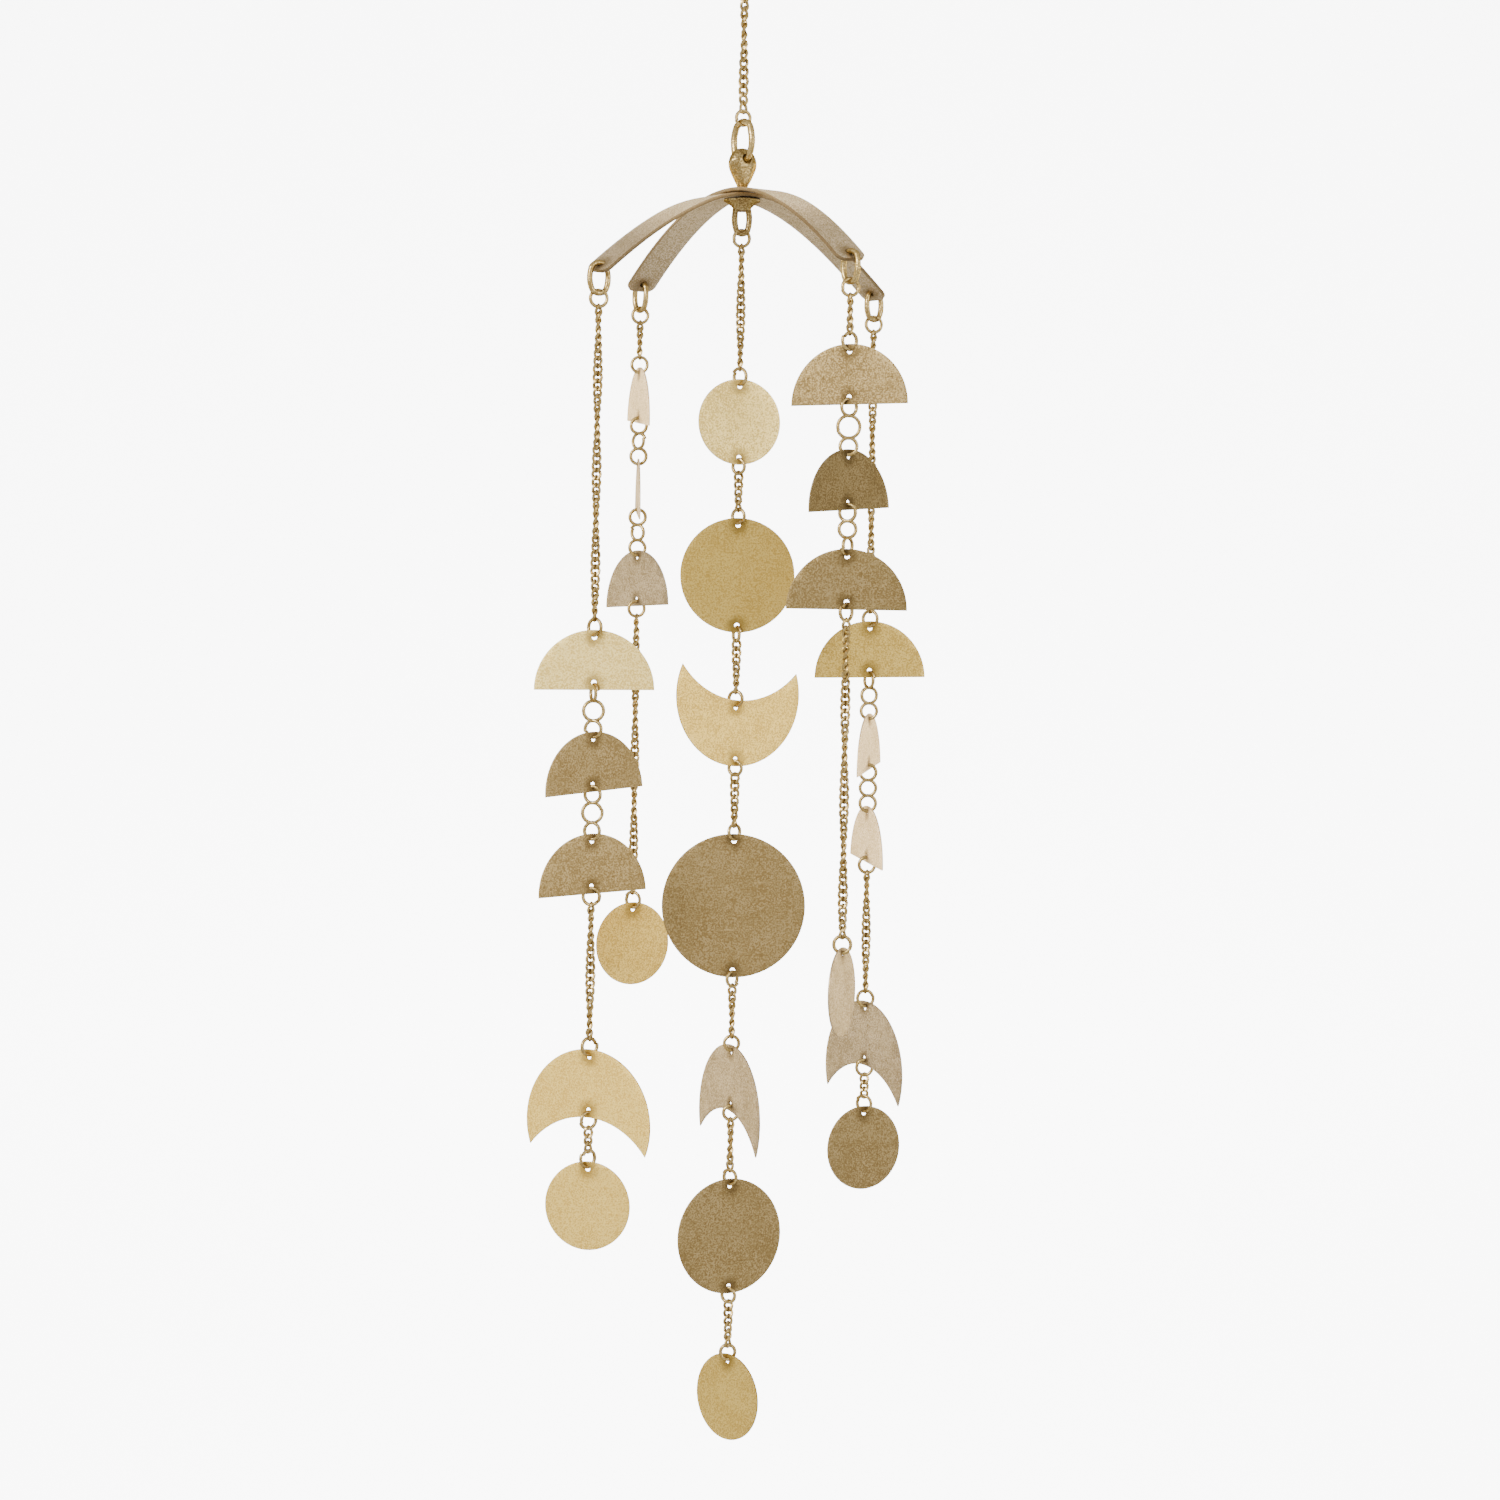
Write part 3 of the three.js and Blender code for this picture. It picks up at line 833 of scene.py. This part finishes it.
def plate(name, form, turn, tilt=0.0):
    return {"name": name, "form": form, "turn": turn, "tilt": tilt}


def disc(name, diameter, turn):
    return plate(name, disc_form(diameter), turn)


def half_disc(name, turn, tilt):
    return plate(name, half_disc_form(), turn, tilt)


def short_chain(links, turn, width=RING):
    return [ring(width), chain(links, turn), ring(width)]


def triple_ring(middle=RING):
    return [ring(), ring(middle), ring()]


STRANDS = {
    "centre": [
        short_chain(17, 60),
        disc("small_disc_upper", SMALL_DISC, 18),
        short_chain(5, 10, SMALL_RING),
        disc("medium_disc_upper", MEDIUM_DISC, 5),
        short_chain(7, 0, SMALL_RING),
        plate("rising_crescent", rising_crescent_form(), 31, -4),
        short_chain(7, -10, SMALL_RING),
        disc("large_disc", LARGE_DISC, -3),
        short_chain(7, 30, SMALL_RING),
        plate("falling_crescent", crescent_form(), -65, -5.8),
        short_chain(7, 50, SMALL_RING),
        disc("medium_disc_lower", MEDIUM_DISC, 27),
        short_chain(6, -5, SMALL_RING),
        disc("small_disc_lower", SMALL_DISC, -45),
    ],
    "front_left": [
        short_chain(42, 60),
        half_disc("half_disc_upper", 0, 0.5),
        triple_ring(MIDDLE_RING),
        half_disc("half_disc_middle", 39, 4.5),
        triple_ring(MIDDLE_RING),
        half_disc("half_disc_lower", 30, 3),
        short_chain(18, 60),
        plate("crescent", crescent_form(), -31, -1),
        short_chain(3, 20),
        disc("disc", SMALL_DISC, -15),
    ],
    "back_left": [
        short_chain(5, 50),
        half_disc("half_disc_upper", -77, -6.5),
        triple_ring(),
        half_disc("half_disc_middle", -86, -7.5),
        triple_ring(),
        half_disc("half_disc_lower", -55, 1),
        short_chain(40, 80),
        disc("disc", SMALL_DISC, 31),
    ],
    "front_right": [
        short_chain(5, 70),
        half_disc("half_disc_upper", -19, 0.5),
        triple_ring(LARGE_RING),
        half_disc("half_disc_middle", 47, 4.5),
        triple_ring(),
        half_disc("half_disc_lower", -8, -0.5),
        short_chain(42, 30),
        disc("disc", SMALL_DISC, 71),
    ],
    "back_right": [
        short_chain(40, 60),
        half_disc("half_disc_upper", 11, 1),
        triple_ring(),
        half_disc("half_disc_middle", 76, 6),
        triple_ring(),
        half_disc("half_disc_lower", -76, -5),
        short_chain(17, 60),
        plate("crescent", crescent_form(), -59, -3),
        short_chain(3, 0),
        disc("disc", SMALL_DISC, 28),
    ],
}


def hang_strand(strand, x, y, hook_height, hook_wire):
    """Hangs a strand's parts one under another on a hook's bottom wire."""
    items = STRANDS[strand]
    lift = HOLE_RADIUS - RING_WIRE / 2 - GAP
    height = hook_height + (hook_wire + RING_WIRE) / 2 + GAP
    facing = None
    count = 0
    for i, item in enumerate(items):
        if isinstance(item, list):
            count += 1
            seed = 7 * i + len(strand)
            turns = link_turns(item, facing, items[i + 1]["turn"], seed)
            kind = "chain" if any("links" in link for link in item) else "rings"
            node = f"{strand}_{kind}_{count}"
            height += hang_links(f"links_{node}", node, item, turns, x, y, height, seed=seed) - lift
        else:
            lower = i < len(items) - 1
            facing = item["turn"]
            place = (x, y, height, lower)
            reach = hang_plate(strand, item["name"], item["form"], facing, item["tilt"], *place)
            height -= reach + lift


# Bars


class BarLine:
    """A bar's middle line, a conic through its crown and its tip holes, measured along its length."""

    def __init__(self, drop, crown_radius):
        self.crown_radius = crown_radius
        self.straightening = (SPREAD**2 / crown_radius - 2 * drop) / drop**2
        self.slope = self.slope_at(SPREAD)
        self.reach = SPREAD + BAR_TIP_INSET * math.cos(self.slope)
        self.ways = [0.0]
        self.outs = [0.0]
        steps = 800
        for i in range(steps):
            out, further = self.reach * i / steps, self.reach * (i + 1) / steps
            rise = self.height_at(further) - self.height_at(out)
            self.ways.append(self.ways[-1] + math.hypot(further - out, rise))
            self.outs.append(further)
        self.half_length = self.ways[-1]

    def root_at(self, x):
        return math.sqrt(1 + self.straightening * x**2 / self.crown_radius)

    def height_at(self, x):
        return -(x**2) / self.crown_radius / (1 + self.root_at(x))

    def slope_at(self, x):
        return math.atan(x / self.crown_radius / self.root_at(x))

    def out_at(self, way):
        share = min(1.0, abs(way) / self.half_length)
        low, high = 0, len(self.ways) - 1
        target = share * self.half_length
        while high - low > 1:
            middle = (low + high) // 2
            low, high = (middle, high) if self.ways[middle] <= target else (low, middle)
        part = (target - self.ways[low]) / (self.ways[high] - self.ways[low])
        return math.copysign(self.outs[low] + part * (self.outs[high] - self.outs[low]), way)

    def way_at(self, x):
        low, high = 0.0, self.half_length
        for _ in range(40):
            middle = (low + high) / 2
            low, high = (middle, high) if self.out_at(middle) < abs(x) else (low, middle)
        return math.copysign(low, x)


def bar_painted_light(out, face):
    """How bright a bar's face is painted this far out from its crown: a painted highlight on top, painted
    shade underneath.
    """
    return face["crown"] + (face["tip"] - face["crown"]) * smooth(*face["fades"], out)


def bar_mesh(line, name, twists):
    """A bar bent from strip. Each arm may be twisted a little, as bending by hand leaves it."""
    half, side = line.half_length, BAR_WIDTH / 2
    outline = []
    for sign_x, sign_y, start in ((1, 1, 0), (-1, 1, 90), (-1, -1, 180), (1, -1, 270)):
        corner = arc(BAR_CORNER, 0, start, start + 90, 10)
        centre_x, centre_y = sign_x * (half - BAR_CORNER), sign_y * (side - BAR_CORNER)
        outline += [(centre_x + x, centre_y + y) for x, y in corner]
    way = line.way_at(SPREAD)
    holes = [(way, 0, BAR_TIP_HOLE_RADIUS), (-way, 0, BAR_TIP_HOLE_RADIUS), (0, 0, SHANK_RADIUS + GAP)]
    work = sheet_metal(outline, holes, BAR_THICKNESS)
    sliced(work, steps_between(-half, half, BAR_FACET_LENGTH), 0)
    sliced(work, steps_between(-side, side, BAR_FACET_WIDTH), 1)
    marked(work, holes)
    # Painted light: a highlight on the top face toward the crown, and shade on the underside
    painted_light_layer = work.verts.layers.float["painted_light"]
    for vert in work.verts:
        x = line.out_at(vert.co.x)
        vert[painted_light_layer] = bar_painted_light(abs(x), TOP_FACE_PAINTED_HIGHLIGHT if vert.co.z > 0 else UNDERSIDE_PAINTED_SHADE)
        beyond = vert.co.x - math.copysign(line.half_length, vert.co.x)
        beyond = beyond if abs(vert.co.x) > line.half_length else 0.0
        slope = line.slope_at(x)
        up = vert.co.z
        x_here = x + up * math.sin(slope) + beyond * math.cos(slope)
        twist = math.radians(twists[0 if x < 0 else 1]) * smooth(TWIST_START, TWIST_FULL, abs(x))
        height = line.height_at(x) + up * math.cos(slope) + vert.co.y * math.sin(twist)
        vert.co = (x_here, vert.co.y, height)
    return closed(work, name)


# Cast pieces and heavy rings


def tube(points, radii, sides, name):
    """A closed loop of round wire through the points, its thickness given at each."""
    count = len(points)
    work = bmesh.new()
    rows = []
    for i, point in enumerate(points):
        along = (points[(i + 1) % count] - points[i - 1]).normalized()
        side = Vector((0, 1, 0))
        out = along.cross(side).normalized()
        side = out.cross(along)
        row = []
        for k in range(sides):
            angle = math.tau * k / sides
            row.append(work.verts.new(point + radii[i] * (math.cos(angle) * out + math.sin(angle) * side)))
        rows.append(row)
    for i in range(count):
        for k in range(sides):
            here, after = rows[i], rows[(i + 1) % count]
            work.faces.new((here[k], here[(k + 1) % sides], after[(k + 1) % sides], after[k]))
    return closed(work, name)


def oval_points(width, height, wire, uneven):
    radius = (width - wire) / 2
    points = []
    for i in range(OVAL_STEPS):
        angle = math.tau * i / OVAL_STEPS
        x, up = radius * math.cos(angle), radius * math.sin(angle)
        share = min(1, max(-1, up / (radius * OVAL_ROUNDNESS)))
        stray = noise.noise(Vector((x * 0.4, up * 0.4, width))) * uneven
        points.append(Vector((x + stray, stray * 0.5, up + share * (height - width) / 2)))
    return points


def oval_mesh(width, height, wire, name, slack, uneven=0.0, flare=0.0):
    """An oval link, its wire thicker all round by slack, and by flare again above its lower bend."""
    points = oval_points(width, height, wire, uneven)
    low = -(height - wire) / 2
    radii = [wire / 2 + slack + flare * smooth(2.2, 6.0, p.z - low) for p in points]
    radii = [r + uneven * (0.5 + 0.5 * noise.noise(p * 0.6)) for r, p in zip(radii, points)]
    return tube(points, radii, 16, name)


def turned_mesh(profile, sides, name, shape=None):
    """A turned body from a profile of (radius, height), closed on its axis at both ends."""
    work = bmesh.new()
    rows = []
    for radius, height in profile:
        if radius == 0:
            rows.append([work.verts.new((0, 0, height))])
            continue
        row = []
        for k in range(sides):
            angle = math.tau * k / sides
            row.append(work.verts.new((radius * math.cos(angle), radius * math.sin(angle), height)))
        rows.append(row)
    for below, above in zip(rows, rows[1:]):
        for k in range(sides):
            after = (k + 1) % sides
            loop = [below[k % len(below)], below[after % len(below)]]
            loop += [above[after % len(above)], above[k % len(above)]]
            corners = list(dict.fromkeys(loop))
            if len(corners) > 2:
                work.faces.new(corners)
    if shape:
        for vert in work.verts:
            vert.co = shape(vert.co)
    return closed(work, name)


# Flats left by the casting, as bearing, lift in degrees, and how far from the middle they lie
EYE_FLATS = [
    (-100, -8, 4.0),
    (-50, -14, 5.2),
    (-135, -16, 5.0),
    (-90, 40, 5.4),
    (0, 30, 6.6),
    (180, 28, 6.6),
    (10, -30, 6.1),
    (170, -30, 6.1),
    (60, -12, 4.9),
    (110, -10, 4.6),
    (90, 38, 5.4),
]


def eye_mesh(shank_length):
    rows = 48
    profile = [(0, 0), (NECK_RADIUS * 0.6, 0), (NECK_RADIUS, 0.05)]
    wide, widest = EYE_WIDTH / 2, EYE_WIDEST
    for i in range(1, rows):
        share = i / rows
        if share < widest:
            radius = NECK_RADIUS + (wide - NECK_RADIUS) * math.sin(math.pi / 2 * share / widest) ** 1.3
        else:
            radius = wide * math.sqrt(1 - ((share - widest) / (1 - widest)) ** 2)
        profile.append((radius, EYE_HEIGHT * share))
    profile.append((0, EYE_HEIGHT))
    middle = Vector((0, 0, EYE_HEIGHT * EYE_MIDDLE))

    def cast(point):
        swell = smooth(0, EYE_HEIGHT * 0.5, point.z)
        flat = 1 + (EYE_DEPTH / EYE_WIDTH - 1) * swell
        shaped = Vector((point.x, point.y * flat, point.z))
        for bearing, lift, reach in EYE_FLATS:
            round_to = Matrix.Rotation(math.radians(bearing), 3, "Z")
            out = round_to @ Vector((1, 0, math.tan(math.radians(lift))))
            out.normalize()
            over = (shaped - middle).dot(out) - reach
            shaped -= out * max(0, over) * 0.85 * smooth(0, 3, point.z)
        fine = noise.noise(point * 0.9) * 0.16 + noise.noise(point * 2.4) * 0.07
        return shaped + Vector((fine, fine, 0)) * swell

    pear = turned_mesh(profile, 72, "eye", cast)
    shank = [(0, -shank_length), (SHANK_RADIUS, -shank_length), (SHANK_RADIUS, BITE), (0, BITE)]
    eye = carved(pear, turned_mesh(shank, 32, "shank"), "UNION")
    channel = oval_mesh(**OVAL_LINK, name="channel", slack=EYE_HOLE_SLACK, flare=EYE_HOLE_FLARE)
    centre = EYE_HEIGHT - EYE_HOLE_DROP + (OVAL_LINK["height"] - OVAL_LINK["wire"]) / 2
    channel.transform(turned(OVAL_TURN - EYE_TURN, 0, 0, centre))
    eye = carved(eye, channel, "DIFFERENCE")
    around = [math.pi * i / 12 for i in range(13)]
    mouth = [(EYE_MOUTH_RADIUS * math.sin(a), -EYE_MOUTH_RADIUS * math.cos(a)) for a in around]
    mouth[0], mouth[-1] = (0, -EYE_MOUTH_RADIUS), (0, EYE_MOUTH_RADIUS)
    away = math.radians(OVAL_TURN - EYE_TURN + EYE_MOUTH_TURN)
    mouth_height = EYE_HEIGHT - EYE_HOLE_DROP + EYE_MOUTH_LIFT
    for reach in (EYE_MOUTH_REACH, -EYE_MOUTH_REACH):
        tool = turned_mesh(mouth, 24, "mouth")
        place = (reach * math.cos(away), reach * math.sin(away), mouth_height)
        tool.transform(Matrix.Translation(place))
        eye = carved(eye, tool, "DIFFERENCE")
    return eye


def cap_mesh():
    rows = 20
    profile = [(0, -CAP_HEIGHT), (CAP_THROAT_RADIUS * 0.7, -CAP_HEIGHT)]
    for i in range(rows + 1):
        share = i / rows
        radius = CAP_THROAT_RADIUS + (CAP_RADIUS - CAP_THROAT_RADIUS) * share**1.8
        profile.append((radius, -CAP_HEIGHT + share * (CAP_HEIGHT - CAP_RIM)))
    profile += [(CAP_RADIUS, -0.2), (CAP_RADIUS - 0.2, 0), (0, 0)]

    def scalloped(point):
        angle = math.atan2(point.y, point.x)
        out = math.hypot(point.x, point.y)
        share = smooth(CAP_THROAT_RADIUS, CAP_RADIUS, out) if point.z < -0.1 else 0
        dent = 0.5 + 0.5 * math.cos(CAP_SCALLOPS * angle + 0.6 * math.sin(2 * angle))
        pull = 1 - CAP_SCALLOP_DEPTH * dent * share * smooth(0, -CAP_RIM, point.z)
        stray = 1 + 0.03 * noise.noise(point * 0.5)
        return Vector((point.x * pull * stray, point.y * pull * stray, point.z))

    flare = turned_mesh(profile, 96, "flare", scalloped)
    loop = oval_mesh(**LOOP, name="loop", uneven=0.2, slack=SHOWN_EXTRA_WIRE / 2)
    loop.transform(turned(LOOP_TURN, 0, 0, -CAP_RIM - LOOP["height"] / 2))
    cap = carved(flare, loop, "UNION")
    bore = SHANK_RADIUS + GAP
    socket = [(0, -CAP_SOCKET_DEPTH), (bore, -CAP_SOCKET_DEPTH), (bore, 1), (0, 1)]
    return carved(cap, turned_mesh(socket, 32, "socket"), "DIFFERENCE")


# Hanging ring, chain, oval link and eye
ring_top = HANGING_WIRE / 2
hanger = [ring(HANGING_RING, HANGING_WIRE), chain(HANGING_LINKS, 20), ring(SMALL_RING)]
hanger_bottom = hang_links(
    "hanger_chain", "hanging_chain", hanger, HANGER_TURNS, 0, 0, ring_top, HANGING_CHAIN, HANGER_SEED
)
oval_top = ring_top + hanger_bottom + (RING_WIRE + OVAL_LINK["wire"]) / 2 + GAP
oval_drop = OVAL_LINK["height"] - OVAL_LINK["wire"]
oval = oval_mesh(**OVAL_LINK, name="oval", uneven=0.18, slack=SHOWN_EXTRA_WIRE / 2)
oval_place = turned(OVAL_TURN, 0, 0, oval_top - oval_drop / 2)
keep(oval, "oval_hanger_link", "oval_link", "chain_brass", oval_place, WIRE_CREASE)
eye_base = oval_top - oval_drop + EYE_HOLE_DROP - EYE_HEIGHT

# Bars stacked under the eye, and the cap under them
upper_crown = eye_base - GAP - BAR_THICKNESS / 2
lower_crown = upper_crown - BAR_THICKNESS - sag(BAR_WIDTH / 2, UPPER_CROWN_RADIUS) - GAP
cap_top = lower_crown - BAR_THICKNESS / 2 - sag(CAP_RADIUS, LOWER_CROWN_RADIUS) - GAP
shank_length = eye_base - cap_top + CAP_SOCKET_DEPTH - GAP
eye_place = turned(EYE_TURN, 0, 0, eye_base)
keep(eye_mesh(shank_length), "eye_finial", "cast_eye", "cast_brass", eye_place, CAST_CREASE)
cap_place = turned(0, 0, 0, cap_top)
keep(cap_mesh(), "flared_cap_and_loop", "flared_cap", "cast_brass", cap_place, CAST_CREASE)
lower_line = BarLine(LOWER_DROP, LOWER_CROWN_RADIUS)
upper_line = BarLine(UPPER_DROP, UPPER_CROWN_RADIUS)
lower_bar = bar_mesh(lower_line, "lower", LOWER_TWISTS)
lower_place = turned(BAR_TURN, 0, 0, lower_crown)
keep(lower_bar, "bar_lower", "lower_arch", "bar_brass", lower_place, BAR_CREASE)
upper_bar = bar_mesh(upper_line, "upper", UPPER_TWISTS)
upper_place = turned(BAR_TURN - 90, 0, 0, upper_crown)
keep(upper_bar, "bar_upper", "upper_arch", "bar_brass", upper_place, BAR_CREASE)


def hang_from_bar(strand, bearing, line, crown, oval_turn):
    """A strand on an oval ring over the outer rim of a bar's tip hole."""
    drop = -line.height_at(SPREAD)
    rise, run = math.sin(line.slope), math.cos(line.slope)
    reach = SPREAD + BAR_TIP_HOLE_RADIUS * run + BAR_THICKNESS / 2 * rise
    rim = crown - drop - BAR_TIP_HOLE_RADIUS * rise + BAR_THICKNESS / 2 * run
    x, y = reach * math.cos(math.radians(bearing)), reach * math.sin(math.radians(bearing))
    top = rim + GAP + TIP_RING["wire"] / 2
    ring_drop = TIP_RING["height"] - TIP_RING["wire"]
    mesh = oval_mesh(**TIP_RING, name=strand, uneven=0.15, slack=SHOWN_EXTRA_WIRE / 2)
    node = f"{strand}_tip_ring"
    place = turned(oval_turn, x, y, top - ring_drop / 2)
    keep(mesh, f"oval_{node}", node, "chain_brass", place, WIRE_CREASE)
    hang_strand(strand, x, y, top - ring_drop, TIP_RING["wire"])


hang_from_bar("front_left", BAR_TURN + 180, lower_line, lower_crown, 28)
hang_from_bar("back_right", BAR_TURN, lower_line, lower_crown, 40)
hang_from_bar("back_left", BAR_TURN + 90, upper_line, upper_crown, -52)
hang_from_bar("front_right", BAR_TURN - 90, upper_line, upper_crown, -47)
loop_drop = LOOP["height"] - LOOP["wire"] / 2
hang_strand("centre", 0, 0, cap_top - CAP_RIM - loop_drop, LOOP["wire"])


# Studio: a pale sweep whose wall glows white behind the mobile, a key light at the front left, a
# weaker fill at the front right, and a soft light behind at each side
SWEEP_FRONT, SWEEP_FLOOR, SWEEP_WALL, SWEEP_BEND = -5.0, -1.5, 2.6, 0.7
SWEEP_SIDE, SWEEP_COLUMN, SWEEP_ROW = 5, 0.5, 0.25
SWEEP_SQUARES = 20
GLOW_MIDDLE = (0.0, SWEEP_WALL, -0.4)
GLOW_EDGE = (1.2, 2.2)
GLOW_STRENGTH = 6.5
LIGHT_AIM = (0, 0, -0.35)


def studio_sweep():
    material = bpy.data.materials.new("Pale studio sweep")
    material.use_nodes = True
    board = Board(material.node_tree)
    material.node_tree.nodes.clear()
    place = board.node("ShaderNodeTexCoord", None, None, "Object")
    far = board.vector("DISTANCE", place, GLOW_MIDDLE, out="Value")
    glow = 1.0 - board.ramp(far, *GLOW_EDGE)
    glow = board.mixed(glow, rgb(0.0, 0.0, 0.0), rgb(1.0, 1.0, 1.0))
    finish = {
        "Base Color": rgb(0.9, 0.9, 0.9),
        "Roughness": 0.9,
        "Emission Color": glow,
        "Emission Strength": GLOW_STRENGTH,
    }
    surface = board.node("ShaderNodeBsdfPrincipled", None, finish)
    board.node("ShaderNodeOutputMaterial", None, {"Surface": surface})
    work = bmesh.new()
    bend_start = SWEEP_WALL - SWEEP_BEND
    path = [(SWEEP_FRONT, SWEEP_FLOOR), (bend_start, SWEEP_FLOOR)]
    for i in range(1, 12):
        angle = math.radians(90 * i / 12)
        rise = SWEEP_BEND * (1 - math.cos(angle))
        path.append((bend_start + SWEEP_BEND * math.sin(angle), SWEEP_FLOOR + rise))
    path += [(SWEEP_WALL, SWEEP_FLOOR + SWEEP_BEND + SWEEP_ROW * i) for i in range(SWEEP_SQUARES)]
    across = [SWEEP_COLUMN * k - SWEEP_SIDE for k in range(SWEEP_SQUARES + 1)]
    rows = [[work.verts.new((x, y, z)) for x in across] for y, z in path]
    for one, other in zip(rows, rows[1:]):
        for k in range(SWEEP_SQUARES):
            work.faces.new((one[k], one[k + 1], other[k + 1], other[k]))
    mesh = bpy.data.meshes.new("sweep")
    work.to_mesh(mesh)
    work.free()
    mesh.materials.append(material)
    mesh.polygons.foreach_set("use_smooth", [True] * len(mesh.polygons))
    sweep = bpy.data.objects.new("studio_sweep", mesh)
    bpy.context.scene.collection.objects.link(sweep)
    sweep.visible_glossy = False
    sweep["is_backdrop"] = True


def soft_light(name, place, size, watts):
    data = bpy.data.lights.new(name, "AREA")
    data.shape = "DISK"
    data.size = size
    data.energy = watts
    light = bpy.data.objects.new(name, data)
    light.location = place
    light.rotation_euler = (Vector(LIGHT_AIM) - Vector(place)).to_track_quat("-Z", "Y").to_euler()
    bpy.context.scene.collection.objects.link(light)


studio_sweep()
world = bpy.data.worlds.new("studio air")
world.use_nodes = True
world.node_tree.nodes["Background"].inputs["Color"].default_value = (1, 1, 1, 1)
world.node_tree.nodes["Background"].inputs["Strength"].default_value = 1.3
bpy.context.scene.world = world
soft_light("key", (-1.3, -1.7, 0.7), size=1.3, watts=64)
soft_light("fill", (1.5, -1.5, 0.2), size=1.3, watts=14)
soft_light("left wall", (-1.6, 1.35, -0.3), size=1.5, watts=30)
soft_light("right wall", (1.6, 1.35, -0.3), size=1.5, watts=30)

# Camera: level, in front, leaning a little about its own axis as the photograph does, in radians
CAMERA_PLACE = (0, -1.422, -0.3079)
CAMERA_LEAN = 0.0126
lens = bpy.data.cameras.new("front view")
lens.sensor_width = 36
lens.lens = 76.8
lens.shift_x = 0.0091
lens.shift_y = -0.06
lens.clip_start = 0.05
lens.clip_end = 30
camera = bpy.data.objects.new("front view", lens)
upright = Matrix.Rotation(math.radians(90), 4, "X") @ Matrix.Rotation(CAMERA_LEAN, 4, "Z")
camera.matrix_world = Matrix.Translation(CAMERA_PLACE) @ upright
bpy.context.scene.collection.objects.link(camera)
bpy.context.scene.camera = camera


def plain(bounds):
    if isinstance(bounds, dict):
        return {key: plain(value) for key, value in bounds.items()}
    if hasattr(bounds, "__len__") and not isinstance(bounds, str):
        return [plain(value) for value in bounds]
    return float(bounds) if isinstance(bounds, (int, float)) else bounds


{"packed": plain(packed_bounds), "shown": plain(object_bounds())}
